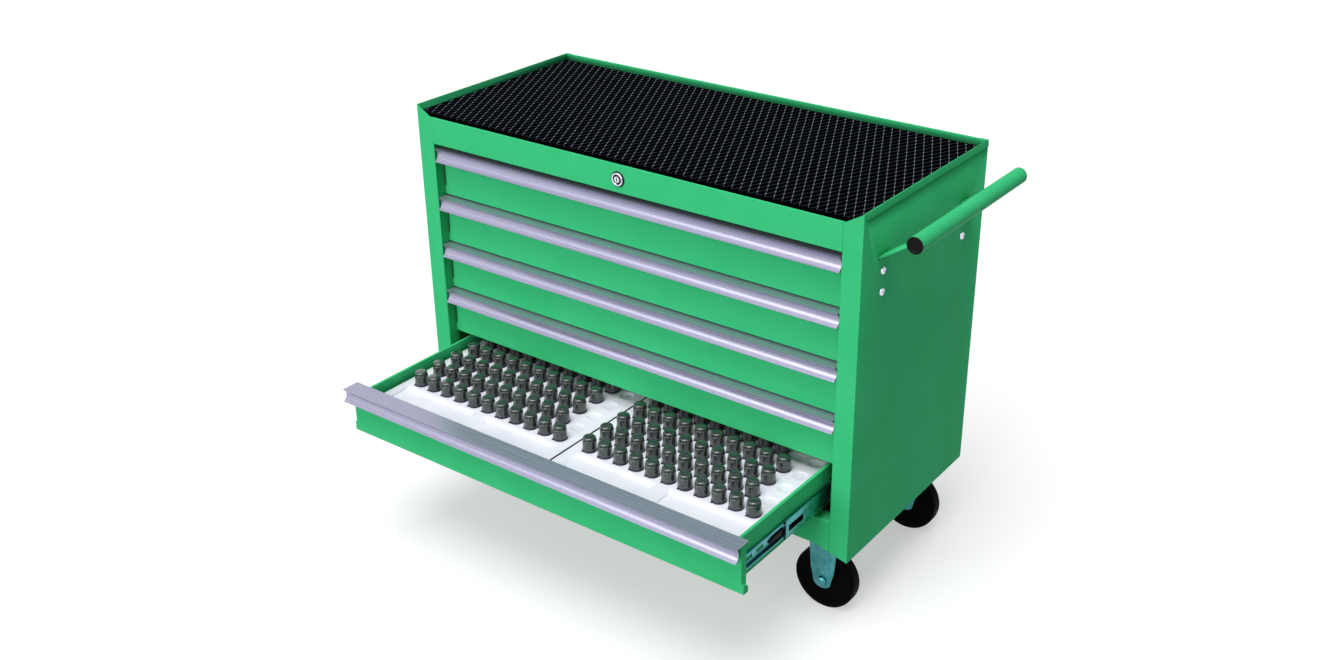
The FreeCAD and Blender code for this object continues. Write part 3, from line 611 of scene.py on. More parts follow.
# %% Round the folds of the case
BEND = 1.6
SHEET = 1.2
CASE_FRONT = 0.0
HEM = 10.5
HEM_LEAN = 3.0
HEM_TOP_IN = 0.6
HEM_TUCK = 2.5
deck_z = case_box("top_panel")[1].z
fascia_z = case_box("top_panel")[0].z
stile_x = case_box("bottom_rail")[1].x
sill_low, sill_high = case_box("bottom_rail")
doubler_x = HALF_WIDTH - SHEET * 2
doubler_z = HEIGHT - HEM - SHEET * 2.25
for name, side, lean in (("left", -1, 0.0), ("right", 1, HEM_LEAN)):
    panel = taken(f"{name}_side_panel", f"{name}_side_shell")
    edit(panel)
    pick("verts", on(x=HALF_WIDTH * side, z=HEIGHT - HEM))
    bpy.ops.transform.translate(value=(lean * side * MM, 0, 0))
    pick("verts", on(x=HALF_WIDTH * side, z=HEIGHT))
    bpy.ops.transform.translate(value=(-HEM_TOP_IN * side * MM, 0, 0))
    tucked = pick("verts", on(tolerance=1.3, x=(doubler_x + 0.6) * side, z=doubler_z))
    bpy.ops.transform.translate(value=(-HEM_TUCK * side * MM, 0, 0))
    print(name, "corners tucked in:", tucked)
    done()
    tests = [
        on(x=HALF_WIDTH * side, y=CASE_FRONT),
        on(x=HALF_WIDTH * side, y=DEPTH),
        on(x=stile_x * side, y=CASE_FRONT),
    ]
    round_bends(panel, BEND, tests)
    found = round_bends(panel, 0.5, [on(tolerance=2, x=(HALF_WIDTH - 1.5) * side, z=HEIGHT)])
    print(name, "hem edges rounded:", found)
    hand_over(panel, "case", "green_enamel", enamel, f"{name}_side_panel")
deck = taken("top_panel", "deck_and_fascia")
round_bends(deck, BEND, [on(y=CASE_FRONT, z=deck_z), on(y=CASE_FRONT, z=fascia_z)])
hand_over(deck, "case", "green_enamel", enamel, "top_panel")
back = taken("back_panel", "back_shell")
back_y = case_box("back_panel")[1].y
round_bends(back, 1.0, [on(y=back_y, z=HEIGHT), on(y=back_y - SHEET * 2, z=HEIGHT)])
hand_over(back, "case", "green_enamel", enamel, "back_panel")
rail = taken("bottom_rail", "sill")
rail_tests = [on(y=CASE_FRONT, z=sill_high.z), on(y=CASE_FRONT, z=18)]
round_bends(rail, BEND, rail_tests)
hand_over(rail, "case", "green_enamel", enamel, "bottom_rail")

# %% [markdown]
# ## Drawer fronts, pulls and boxes
# Each front is a shallow pan of folded steel whose outer edges are bent. The pull is an
# extrusion: its nose and lips have the small radii that a die needs, and they draw the two
# bright lines along every drawer. The box's upper edges are rolled over so that they don't cut.

# %% Round the drawers' edges
DRAWERS = 5
FRONT_BEND = 1.5
PULL_EDGE = 0.6
HEM_ROLL = 2.4
for number in range(1, DRAWERS + 1):
    body = f"drawer_{number}"
    low, high = case_box(f"{body}_front")
    tab = 5
    front = taken(f"{body}_front", f"{body}_face")
    tests = [
        on(y=low.y, z=low.z),
        on(x=low.x + tab, y=low.y),
        on(x=high.x - tab, y=low.y),
        on(y=low.y, x=low.x),
        on(y=low.y, x=high.x),
    ]
    round_bends(front, FRONT_BEND, tests, segments=2)
    hand_over(front, body, "green_enamel", enamel, f"{body}_front")
    low, high = case_box(f"{body}_pull")
    pull = taken(f"{body}_pull", f"{body}_extrusion")
    nose = low.y
    tests = [on(y=nose, z=high.z), on(y=nose, z=low.z)]
    round_bends(pull, PULL_EDGE, tests, segments=2)
    hand_over(pull, body, "aluminium_pull", aluminium, f"{body}_pull")
    low, high = case_box(f"{body}_box")
    box = taken(f"{body}_box", f"{body}_pan")
    tests = [on(x=x, z=high.z) for x in (low.x, low.x + 6, high.x - 6, high.x)]
    tests.append(on(y=low.y, z=high.z))
    round_bends(box, HEM_ROLL, tests[:4])
    hand_over(box, body, "green_enamel", enamel, f"{body}_box")

# %% [markdown]
# ## Ribbed mat
# The mat is moulded with a net of ribs that cross in long diamonds, so that round tools don't
# roll. The ribs that lean to the left stand a little higher than the others, and a small knot
# tops every crossing and catches the light. A rib is a long block without ends or underside,
# narrowed at its crest and leaned by moving its far end. It is set out in a row, the knots in
# rows and columns, and all of them are trimmed to the mat's outline.

# %% Mat and its net of ribs
NET_PITCH = 17.1
NET_LEAN = 0.502
NET_SHIFT = 3.0
RIB_WIDTH = 2.0
RIB_TAPER = 0.45
HIGH_RIB_DROP = 0.32
LOW_RIB_DROP = 0.42
KNOT_WIDTH = 3.6
MAT_MARGIN = 2.0
sheet = taken("rubber_mat", "mat_sheet")
edit(sheet)
pick("verts", on(z=MAT_HIGH.z))
bpy.ops.transform.translate(value=(0, 0, -RIB_HEIGHT * MM))
done()
hand_over(sheet, "case", "black_rubber", mat_rubber, "rubber_mat")


def ribs_across(name, lean, top):
    """A row of ribs from front to back that lean by a share of their length."""
    shift = lean * DEPTH
    count = math.ceil((2 * HALF_WIDTH + abs(shift)) / NET_PITCH) + 1
    first = -HALF_WIDTH + NET_SHIFT - NET_PITCH * math.ceil(max(shift, 0) / NET_PITCH)
    bottom = MAT_HIGH.z - RIB_HEIGHT - 0.2
    rib = block(name, (first - RIB_WIDTH / 2, 0, bottom), (first + RIB_WIDTH / 2, DEPTH, top))
    edit(rib)
    pick("faces", lambda face: abs(face.normal.y) > 0.9 or face.normal.z < -0.9)
    bpy.ops.mesh.delete(type="FACE")
    pick("faces", lambda face: face.normal.z > 0.9)
    bpy.ops.transform.resize(value=(RIB_TAPER, 1, 1), center_override=at(first, 0, top))
    pick("verts", on(y=DEPTH))
    bpy.ops.transform.translate(value=(shift * MM, 0, 0))
    done()
    return repeat(rib, count, (NET_PITCH, 0, 0))


crest = MAT_HIGH.z - 0.02
high_ribs = ribs_across("high_ribs", -NET_LEAN, crest - HIGH_RIB_DROP)
low_ribs = ribs_across("low_ribs", NET_LEAN, crest - LOW_RIB_DROP)
first = -HALF_WIDTH + NET_SHIFT
reach = KNOT_WIDTH / 2
knots = block("knots", (first - reach, -reach, crest - 0.8), (first + reach, reach, crest))
edit(knots)
pick("faces", lambda face: face.normal.z < -0.9)
bpy.ops.mesh.delete(type="FACE")
pick("faces", lambda face: face.normal.z > 0.9)
bpy.ops.transform.resize(value=(RIB_TAPER, RIB_TAPER, 1), center_override=at(first, 0, crest))
done()
row_pitch = NET_PITCH / 2 / NET_LEAN
in_row = math.ceil((2 * HALF_WIDTH + NET_LEAN * DEPTH) / NET_PITCH) + 1
repeat(knots, in_row, (NET_PITCH, 0, 0))
repeat(knots, math.ceil(DEPTH / row_pitch), (-NET_PITCH / 2, row_pitch, 0))
print("knots in a row:", in_row, "and rows", round(row_pitch, 2), "mm apart")
ribs = joined("mat_ribs", [high_ribs, low_ribs, knots])
edit(ribs)
trims = [
    (at(MAT_HIGH.x - MAT_MARGIN, 0, crest), Vector((1, 0, 0))),
    (at(MAT_LOW.x + MAT_MARGIN, 0, crest), Vector((-1, 0, 0))),
    (at(0, MAT_HIGH.y - MAT_MARGIN, crest), Vector((0, 1, 0))),
    (at(0, MAT_LOW.y + MAT_MARGIN, crest), Vector((0, -1, 0))),
]
for place, way in trims:
    bpy.ops.mesh.select_all(action="SELECT")
    bpy.ops.mesh.bisect(plane_co=place, plane_no=way, clear_outer=True)
done()
hand_over(ribs, "case", "black_rubber", mat_rubber)

# %% [markdown]
# ## Formed trays
# A vacuum-formed tray is one thin sheet drawn down over a mould: soft-edged round pockets for
# the jars, and two wide finger troughs along the front. The sheet starts as a plane cut along
# every line that matters. The squares round the jars are then taken out and filled by copies of
# one pocket, whose square rim is bridged to a round well.

# %% One pocket of the tray
JAR_PITCH = 36.7
ROW_PITCH = 50.8
COLUMNS = 11
ROWS = 6
SQUARE = 33.0
POCKET_RADIUS = 14.2
jar_low, jar_high = case_box("gauge_jars")
tray_low, tray_high = case_box("gauge_trays")
TRAY_Z = jar_low.z
JAR_RADIUS = 14.5
first_row_y = jar_low.y + JAR_RADIUS
TRAY_GAP = 2.3
tray_centre_x = (tray_high.x + 0.5) / 2


def pocket_at(x, y):
    """A square of tray sheet with a soft-edged round well in it."""
    bpy.ops.mesh.primitive_circle_add(
        vertices=24, radius=POCKET_RADIUS * MM, fill_type="NOTHING", location=at(x, y, TRAY_Z)
    )
    well = bpy.context.object
    bpy.ops.object.transform_apply(location=True, rotation=True, scale=True)
    bpy.ops.mesh.primitive_plane_add(size=SQUARE * MM, location=at(x, y, TRAY_Z))
    rim = bpy.context.object
    bpy.ops.object.transform_apply(location=True, rotation=True, scale=True)
    edit(rim)
    bpy.ops.mesh.select_all(action="SELECT")
    bpy.ops.mesh.delete(type="ONLY_FACE")
    done()
    piece = joined("pocket", [rim, well])
    edit(piece)
    bpy.ops.mesh.select_mode(type="EDGE")
    bpy.ops.mesh.select_all(action="SELECT")
    bpy.ops.mesh.bridge_edge_loops()
    centre = at(x, y, TRAY_Z)
    reach = (POCKET_RADIUS + 0.1) * MM
    pick("edges", lambda edge: all((end.co - centre).length < reach for end in edge.verts))
    depth, radius = 0.0, POCKET_RADIUS
    for next_radius, next_depth in ((13.2, 0.5), (11.6, 1.7), (8.5, 2.5)):
        bpy.ops.mesh.extrude_region_move(
            TRANSFORM_OT_translate={"value": (0, 0, (depth - next_depth) * MM)}
        )
        share = next_radius / radius
        bpy.ops.transform.resize(
            value=(share, share, 1), center_override=centre - Vector((0, 0, next_depth * MM))
        )
        depth, radius = next_depth, next_radius
    bpy.ops.mesh.edge_face_add()
    return done()


print("pockets:", COLUMNS * ROWS, "in each tray, first row at", round(first_row_y, 1))

# %% The trays
TROUGH_DEPTH = 6.5
TROUGH_MARGIN = 18.0
TROUGH_WEB = 22.0
TROUGH_END = first_row_y - SQUARE / 2 - 4
TROUGH_START = tray_low.y + TROUGH_MARGIN
tray_width = tray_high.x - TRAY_GAP


def tray_sheet(side):
    """One tray: its flat sheet, cut along all lines, with troughs, pockets and drawn-down sides."""
    inner, outer = TRAY_GAP * side, tray_high.x * side
    left, right = min(inner, outer), max(inner, outer)
    bpy.ops.mesh.primitive_plane_add(
        size=1,
        location=at((left + right) / 2, (tray_low.y + tray_high.y) / 2, TRAY_Z),
    )
    sheet = bpy.context.object
    sheet.scale = ((right - left) * MM, (tray_high.y - tray_low.y) * MM, 1)
    bpy.ops.object.transform_apply(location=True, rotation=True, scale=True)
    middle = tray_centre_x * side
    columns = [middle + JAR_PITCH * (place - (COLUMNS - 1) / 2) for place in range(COLUMNS)]
    rows = [first_row_y + ROW_PITCH * place for place in range(ROWS)]
    half = SQUARE / 2
    trough_width = (tray_width - TROUGH_MARGIN * 2 - TROUGH_WEB) / 2
    trough_edges = [left + TROUGH_MARGIN, left + TROUGH_MARGIN + trough_width]
    trough_edges += [edge + trough_width + TROUGH_WEB for edge in trough_edges]
    x_cuts = sorted([x + way * half for x in columns for way in (-1, 1)] + trough_edges)
    y_cuts = [TROUGH_START, TROUGH_END] + [y + way * half for y in rows for way in (-1, 1)]
    edit(sheet)
    for cuts, way in ((x_cuts, (1, 0, 0)), (y_cuts, (0, 1, 0))):
        for cut in cuts:
            place = at(cut, 0, TRAY_Z) if way[0] else at(0, cut, TRAY_Z)
            bpy.ops.mesh.select_all(action="SELECT")
            bpy.ops.mesh.bisect(plane_co=place, plane_no=way)

    def spot(face):
        return on_case(face.calc_center_bounds())

    def in_square(face):
        x, y = spot(face).xy
        return any(abs(x - c) < half for c in columns) and any(abs(y - r) < half for r in rows)

    pick("faces", in_square)
    bpy.ops.mesh.delete(type="FACE")

    def in_trough(low_edge, high_edge):
        return lambda face: (
            low_edge < spot(face).x < high_edge and TROUGH_START < spot(face).y < TROUGH_END
        )

    for low_edge, high_edge in (trough_edges[:2], trough_edges[2:]):
        pick("faces", in_trough(low_edge, high_edge))
        bpy.ops.mesh.inset(thickness=3.0 * MM, depth=-1.0 * MM)
        bpy.ops.mesh.inset(thickness=5.0 * MM, depth=-(TROUGH_DEPTH - 2.0) * MM)
        bpy.ops.mesh.inset(thickness=4.0 * MM, depth=-1.0 * MM)
    edges = (on(x=left), on(x=right), on(y=tray_low.y), on(y=tray_high.y))
    pick("edges", lambda edge: edge.is_boundary and any(test(edge) for test in edges))
    bpy.ops.mesh.extrude_region_move(TRANSFORM_OT_translate={"value": (0, 0, -2.0 * MM)})
    bpy.ops.mesh.extrude_region_move(
        TRANSFORM_OT_translate={"value": (0, 0, (tray_low.z + 2.0 - TRAY_Z) * MM)}
    )
    done()
    pocket = pocket_at(columns[0], rows[0])
    repeat(pocket, COLUMNS, (JAR_PITCH, 0, 0))
    repeat(pocket, ROWS, (0, ROW_PITCH, 0))
    tray = joined("tray", [sheet, pocket])
    edit(tray)
    bpy.ops.mesh.select_all(action="SELECT")
    bpy.ops.mesh.remove_doubles(threshold=0.02 * MM)
    bpy.ops.mesh.normals_make_consistent(inside=False)
    return done()


for name, side in (("left", -1), ("right", 1)):
    tray = tray_sheet(side)
    tray.name = f"{name}_formed_tray"
    up = sum(face.normal.z * face.area for face in tray.data.polygons)
    print(tray.name, "faces up:", up > 0, len(tray.data.polygons), "faces")
    modify(tray, "SOLIDIFY", thickness=1.0 * MM, offset=-1.0 if up > 0 else 1.0)
    nodes = ["gauge_trays"] if side > 0 else []
    hand_over(tray, "drawer_5", "white_tray", tray_white, *nodes)

# A dark strip in the gap between the trays is no real part: it is a painted shadow of that gap.
block("tray_gap_painted_shade", (-2.2, tray_low.y + 1, TRAY_Z - 20), (2.2, tray_high.y - 1, TRAY_Z - 0.3))
painted_gap_shade = bpy.context.object
hand_over(painted_gap_shade, "drawer_5", "jar_plastic", jar_foot)

# %% [markdown]
# ## Gauge jars
# A jar is a short smoked cup turned upside down over its gauge: a dark foot ring with a small
# finger tab, a wall that tapers a little, a fine parting line, and a domed cap. All jars are
# the same, so one is modelled with few faces and set out in rows. The last column stays empty
# behind the front row.

# %% One jar
JAR_HEIGHT = jar_high.z - jar_low.z
JAR_SIDES = 14
FOOT_TOP = 4.0
jar = turned(
    "jar",
    JAR_SIDES,
    [
        (13.0, 0.05), (JAR_RADIUS, 0.05), (14.4, 3.2), (13.8, FOOT_TOP), (13.3, 21.8),
        (12.8, 22.5), (12.6, JAR_HEIGHT - 3.8), (12.1, JAR_HEIGHT - 2.1), (11.0, JAR_HEIGHT - 1.1),
        (9.0, JAR_HEIGHT - 0.5), (5.0, JAR_HEIGHT - 0.1), (0, JAR_HEIGHT),
    ],
)
bpy.ops.mesh.primitive_cube_add(size=1, location=(0, -15.2 * MM, 1.2 * MM))
tab = bpy.context.object
tab.scale = (4.0 * MM, 3.4 * MM, 2.2 * MM)
bpy.ops.object.transform_apply(location=True, rotation=True, scale=True)
edit(tab)
pick("faces", lambda face: face.normal.y < -0.9)
bpy.ops.transform.resize(value=(0.55, 1, 0.55), center_override=(0, -16.9 * MM, 0.6 * MM))
done()
jar = joined("jar", [jar, tab])
jar.data.materials.append(smoke)
jar.data.materials.append(jar_foot)
edit(jar)
pick("faces", lambda face: face.calc_center_median().z < FOOT_TOP * MM)
jar.active_material_index = 1
bpy.ops.object.material_slot_assign()
done()
only(jar)
jar.rotation_euler = (0, 0, math.radians(-28))
bpy.ops.object.transform_apply(location=True, rotation=True, scale=True)
print("one jar:", len(jar.data.polygons), "faces")


def near_jar(x, y):
    """A test for the faces of the jar that stands at a place of the case."""
    return lambda face: (on_case(face.calc_center_median()).xy - Vector((x, y))).length < JAR_PITCH / 2


# %% All the jars
MISSING = {"left": [], "right": [(COLUMNS - 2, 4)]}
for name, side in (("left", -1), ("right", 1)):
    start = tray_centre_x * side - JAR_PITCH * (COLUMNS - 1) / 2
    jars = copied(jar, name=f"{name}_jars")
    lay(jars, at(start, first_row_y, TRAY_Z))
    last = copied(jars, (JAR_PITCH * (COLUMNS - 1), 0, 0))
    repeat(jars, COLUMNS - 1, (JAR_PITCH, 0, 0))
    repeat(jars, ROWS, (0, ROW_PITCH, 0))
    for column, row in MISSING[name]:
        edit(jars)
        pick("faces", near_jar(start + JAR_PITCH * column, first_row_y + ROW_PITCH * row))
        bpy.ops.mesh.delete(type="FACE")
        done()
    joined(f"{name}_jars", [jars, last])
    nodes = ["gauge_jars"] if side > 0 else []
    hand_over(jars, "drawer_5", "jar_plastic", None, *nodes)
bpy.data.objects.remove(jar)

# %% [markdown]
# ## Wheels and axles
# The 5-inch wheels are moulded in one piece: a solid tread with rounded shoulders, a dished disc
# and a longer hub that runs on the axle bolt. The outline is turned from the bore round and
# back to it. The axle's head is a low dome, and a hexagon nut closes its far end.

# %% Wheels
WHEEL_SIDES = 64
wheel_low, wheel_high = case_box("front_right_wheel")
WHEEL_RADIUS = (wheel_high.z - wheel_low.z) / 2
HUB_HALF = (wheel_high.y - wheel_low.y) / 2
BORE = 5.08
half_outline = [
    (BORE, HUB_HALF), (17.6, HUB_HALF), (18.6, HUB_HALF - 0.9), (19.6, 13.2), (22.0, 11.6),
    (43.5, 11.0), (47.5, 12.4), (49.6, 15.2), (51.0, 15.5), (57.5, 15.5), (60.6, 14.6),
    (62.5, 12.6), (63.3, 9.8), (WHEEL_RADIUS, 6.5),
]
outline = half_outline + [(radius, -place) for radius, place in reversed(half_outline)]
for end in ("front", "rear"):
    for name in ("left", "right"):
        low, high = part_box(f"{end}_{name}_wheel")
        wheel = turned(f"{end}_{name}_moulded_wheel", WHEEL_SIDES, outline, closed=True)
        lay(wheel, (low + high) / 2, "front")
        hand_over(wheel, f"{end}_{name}_wheel", "wheel_rubber", tyre, f"{end}_{name}_wheel")

# %% Axles
AXLE_RADIUS = 5.0
LEG_OUTER = 21.5
for end in ("front", "rear"):
    for name in ("left", "right"):
        low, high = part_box(f"{end}_{name}_axle")
        middle = (low + high) / 2
        head = turned(
            "head", 32,
            [(AXLE_RADIUS, 0), (9.5, 0), (9.5, 1.2), (8.9, 2.6), (7.4, 3.8), (4.6, 4.7), (2, 5), (0, 5)],
        )
        lay(head, middle - Vector((0, LEG_OUTER * MM, 0)), "front")
        shaft = turned("shaft", 32, [(AXLE_RADIUS, -LEG_OUTER), (AXLE_RADIUS, LEG_OUTER)])
        lay(shaft, middle, "front")
        nut = turned("nut", 6, [(8.2, 0), (9.4, 0.6), (9.4, 4.2), (8.2, 5)])
        lay(nut, middle + Vector((0, LEG_OUTER * MM, 0)), "back")
        axle = joined(f"{end}_{name}_axle_bolt", [head, shaft, nut])
        body = "case" if name == "right" else f"{end}_{name}_swivel"
        hand_over(axle, body, "zinc_plate", zinc, f"{end}_{name}_axle")

# %% [markdown]
# ## Forks and brackets
# The caster legs are pressed from 2.5 mm plate. The press leaves a round shoulder along the
# raised rib and a small burr radius on the blank's edge, which a Bevel modifier gives to every
# sharp edge at once. The fixed legs on the right are broader than the swivel forks, so what
# hangs under their plates is widened about its middle.

# %% Soften the pressed plate
PRESS_RADIUS = 0.6
LEG_BROADER = 1.2
PLATE_THICKNESS = 3.0
LEG_REACH = 32.0


def in_leg(middle, under):
    """A test for the corners of a leg that hangs under its plate."""
    def test(corner):
        spot = on_case(corner.co)
        return spot.z < under + 0.1 and abs(spot.x - middle.x) < LEG_REACH

    return test


for end in ("front", "rear"):
    for node, body in (
        (f"{end}_right_bracket", "case"),
        (f"{end}_left_fork", f"{end}_left_swivel"),
    ):
        leg = taken(node, f"{node}_pressing")
        if body == "case":
            low, high = case_box(node)
            middle = (low + high) / 2
            edit(leg)
            found = pick("verts", in_leg(middle, high.z - PLATE_THICKNESS))
            bpy.ops.transform.resize(
                value=(LEG_BROADER, 1, 1), center_override=at(middle.x, middle.y, middle.z)
            )
            done()
            print(node, "corners moved:", found)
        modify(
            leg, "BEVEL", width=PRESS_RADIUS * MM, segments=2,
            limit_method="ANGLE", angle_limit=math.radians(40),
        )
        hand_over(leg, body, "zinc_plate", zinc, node)

# %% [markdown]
# ## Push handle
# The handle is a steel tube welded between two flat arms, with a plastic cap pressed into each
# end. The arms are bolted inside the panel with button-head screws, whose heads show outside.

# %% Tube, caps, arms and screws
tube_low, tube_high = case_box("handle_tube")
tube_place = (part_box("handle_tube")[0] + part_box("handle_tube")[1]) / 2
TUBE_RADIUS = (tube_high.x - tube_low.x) / 2
TUBE_BORE = TUBE_RADIUS - 1.6
half = (tube_high.y - tube_low.y) / 2
tube = turned(
    "handle_bar", 48,
    [(TUBE_BORE, -half), (TUBE_RADIUS - 0.4, -half), (TUBE_RADIUS, -half + 0.4),
     (TUBE_RADIUS, half - 0.4), (TUBE_RADIUS - 0.4, half), (TUBE_BORE, half)],
    closed=True,
)
lay(tube, tube_place, "front")
hand_over(tube, "case", "green_enamel", enamel, "handle_tube")
caps = []
for way, sign in (("front", -1), ("back", 1)):
    cap = turned(
        "cap", 48,
        [(TUBE_BORE - 0.1, -11), (TUBE_BORE - 0.1, 0), (TUBE_RADIUS, 0), (TUBE_RADIUS, 0.9),
         (14.2, 1.7), (12, 2.0), (11.2, 1.6), (6, 1.4), (0, 1.4)],
    )
    caps.append(lay(cap, tube_place + Vector((0, sign * half * MM, 0)), way))
caps = joined("bar_caps", caps)
hand_over(caps, "case", "black_plastic", black_plastic, "handle_end_caps")
arms = taken("handle_arms", "bar_arms")
modify(arms, "BEVEL", width=0.9 * MM, segments=2, limit_method="ANGLE", angle_limit=math.radians(40))
hand_over(arms, "case", "green_enamel", enamel, "handle_arms")
bolt_low, bolt_high = case_box("handle_bolts")
arm_low, arm_high = case_box("handle_arms")
ARM_HALF = 17.5
CAD_HEAD_RADIUS = 6.2
HEAD_RADIUS = 7.2
screws = []
for y in (arm_low.y + ARM_HALF, arm_high.y - ARM_HALF):
    for z in (bolt_high.z - CAD_HEAD_RADIUS, bolt_low.z + CAD_HEAD_RADIUS):
        screw = turned(
            "screw", 24,
            [(3, -11), (3, 0), (HEAD_RADIUS, 0), (HEAD_RADIUS, 0.8), (6.2, 2.4), (4.7, 3.4),
             (2.8, 3.9), (2.3, 3.8), (2.2, 1.6), (0, 1.4)],
        )
        lay(screw, at(HALF_WIDTH, y, z), "right")
        nut = turned("nut", 6, [(5, 0), (5.7, 0.5), (5.7, 4.5), (5, 5)])
        lay(nut, at(HALF_WIDTH - 1.2 - 5 - 5, y, z), "right")
        screws += [screw, nut]
screws = joined("arm_screws", screws)
hand_over(screws, "case", "zinc_plate", chrome, "handle_bolts")

# %% [markdown]
# ## Lock
# The lock's bezel is a chromed ring with a rolled rim and a sunk face, and the core with its key
# slot sits in the middle. All but the rim's rolled crown is painted dark, a painted shade.

# %% Lock bezel
lock_low, lock_high = case_box("lock_barrel")
lock_z = (lock_low.z + lock_high.z) / 2
CORE_BORE = 6.05
BEZEL_RADIUS = (lock_high.x - lock_low.x) / 2
barrel = turned(
    "lock_bezel", 48,
    [(CORE_BORE, -24), (9.5, -24), (9.5, 0), (BEZEL_RADIUS, 0), (BEZEL_RADIUS, 0.9), (14.2, 2.0),
     (12.6, 3.4), (11.2, 3.95), (9.9, 3.8), (9.2, 3.0), (8.7, 0.8), (CORE_BORE, 0.6)],
    closed=True,
)
barrel.data.materials.append(chrome)
barrel.data.materials.append(shade_steel)
edit(barrel)
# The core and the faces off the rolled crown take the dark steel: painted shade.
pick("faces", lambda face: not 9.3 < face.calc_center_median().xy.length / MM < 12.8)
barrel.active_material_index = 1
bpy.ops.object.material_slot_assign()
done()
lay(barrel, at(0, 0, lock_z), "front")
hand_over(barrel, "case", "lock_chrome", None, "lock_barrel")

# %% [markdown]
# ## Drawer slides
# A full-extension slide is three strips of zinc plated steel that run in each other on balls.
# Each strip is a shallow channel, and the press curls its edges to races for the balls. A strip
# starts as one edge as long as the strip, which is extruded from point to point of the section.
# Windows are then cut into the web, and a Solidify modifier gives the sheet its thickness.

# %% One strip with its races
def strip(name, section, start, end, windows=()):
    """A channel along y. section lists (x, z) in millimetres, windows (start, end, half height)."""
    x, z = section[0]
    middle = at(x, (start + end) / 2, z)
    bpy.ops.mesh.primitive_plane_add(size=1, location=middle)
    piece = bpy.context.object
    piece.name = name
    bpy.ops.object.transform_apply(location=True, rotation=True, scale=True)
    edit(piece)
    bpy.ops.mesh.select_all(action="SELECT")
    bpy.ops.transform.resize(value=(0, (end - start) * MM, 1), center_override=middle)
    bpy.ops.mesh.remove_doubles(threshold=0.01 * MM)
    bpy.ops.mesh.select_mode(type="EDGE")
    bpy.ops.mesh.select_all(action="SELECT")
    for next_x, next_z in section[1:]:
        step = ((next_x - x) * MM, 0, (next_z - z) * MM)
        bpy.ops.mesh.extrude_region_move(TRANSFORM_OT_translate={"value": step})
        x, z = next_x, next_z
    centre_z = (section[0][1] + section[-1][1]) / 2
    for low, high, half in windows:
        for place, way in (
            (at(0, low, 0), (0, 1, 0)),
            (at(0, high, 0), (0, 1, 0)),
            (at(0, 0, centre_z - half), (0, 0, 1)),
            (at(0, 0, centre_z + half), (0, 0, 1)),
        ):
            bpy.ops.mesh.select_all(action="SELECT")
            bpy.ops.mesh.bisect(plane_co=place, plane_no=way)

        def inside(face):
            spot = on_case(face.calc_center_median())
            return low < spot.y < high and abs(spot.z - centre_z) < half

        pick("faces", inside)
        bpy.ops.mesh.delete(type="FACE")
    return done()


def both_sides(piece, name):
    """Adds the mirrored twin on the case's other side, and gives both their thickness."""
    twin = copied(piece)
    edit(twin)
    bpy.ops.mesh.select_all(action="SELECT")
    bpy.ops.transform.resize(value=(-1, 1, 1), center_override=at(0, 0, 0))
    bpy.ops.mesh.normals_make_consistent(inside=False)
    done()
    pair = joined(name, [piece, twin])
    return modify(pair, "SOLIDIFY", thickness=1.0 * MM, offset=0.0)


inner_low, inner_high = case_box("drawer_5_inner_slides")
middle_low, middle_high = case_box("drawer_5_middle_slides")
slide_z = (inner_low.z + inner_high.z) / 2
INNER_HALF = [(451.6, 12.4), (451.7, 14.4), (450.8, 15.7), (448.8, 16.0), (446.9, 15.2), (446.1, 13.0)]
MIDDLE_HALF = [(451.4, 17.6), (451.3, 18.7), (452.4, 19.0), (453.9, 18.3), (454.7, 16.4)]
print("slides lie at", round(slide_z, 1), "mm, inner ones from y", round(inner_low.y, 1))

# %% The slides of all drawers
def whole(half):
    """A strip's section from its upper half."""
    upper = [(x, slide_z + z) for x, z in half]
    return upper + [(x, slide_z - z) for x, z in reversed(half)]


inner = strip(
    "inner", whole(INNER_HALF), inner_low.y, inner_high.y,
    [(inner_low.y + start, inner_low.y + end, 4.0) for start, end in ((14, 42), (54, 76), (150, 190))],
)
inner = both_sides(inner, "inner_strips")
middle = strip(
    "middle", whole(MIDDLE_HALF), middle_low.y, middle_high.y,
    [(middle_low.y + start, middle_low.y + end, 6.5) for start, end in ((9, 56), (300, 360))],
)
middle = both_sides(middle, "middle_strips")
lever = block(
    "lever", (446.7, inner_low.y + 92, slide_z - 7.5), (451.2, inner_low.y + 132, slide_z + 6.5)
)
edit(lever)
pick("faces", lambda face: face.normal.y < -0.9)
bpy.ops.transform.resize(value=(0.6, 1, 0.35), center_override=at(446.7, inner_low.y + 92, slide_z - 5))
bpy.ops.mesh.select_all(action="SELECT")
bpy.ops.mesh.bevel(offset=0.8 * MM, segments=2, affect="EDGES")
done()
twin = copied(lever)
edit(twin)
bpy.ops.mesh.select_all(action="SELECT")
bpy.ops.transform.resize(value=(-1, 1, 1), center_override=at(0, 0, 0))
bpy.ops.mesh.normals_make_consistent(inside=False)
done()
lever = joined("levers", [lever, twin])
for number in range(1, DRAWERS + 1):
    low = case_box(f"drawer_{number}_inner_slides")[0]
    step = low - inner_low
    body = f"drawer_{number}"
    runners = copied(inner, (0, step.y, step.z), f"{body}_runners")
    hand_over(runners, body, "zinc_plate", zinc, f"{body}_inner_slides")
    latch = copied(lever, (0, step.y, step.z), f"{body}_release_levers")
    hand_over(latch, body, "black_plastic", black_plastic)
    low = case_box(f"drawer_{number}_middle_slides")[0]
    step = low - middle_low
    runners = copied(middle, (0, step.y, step.z), f"{body}_middle_runners")
    hand_over(runners, f"{body}_middle", "zinc_plate", zinc, f"{body}_middle_slides")
for piece in (inner, middle, lever):
    bpy.data.objects.remove(piece)

# %% [markdown]
# ## Floor, light and camera
# A product picture stands on a pale floor without a horizon. One large soft lamp stands in front
# and lights the drawers evenly under their pulls, a second one hangs above and lights the mat,
# the trays and the floor, and the right side falls off to a deep green that only the sky fills.
# The floor and the sky look white to the camera and in mirrors, and give less light to the
# object than they show.

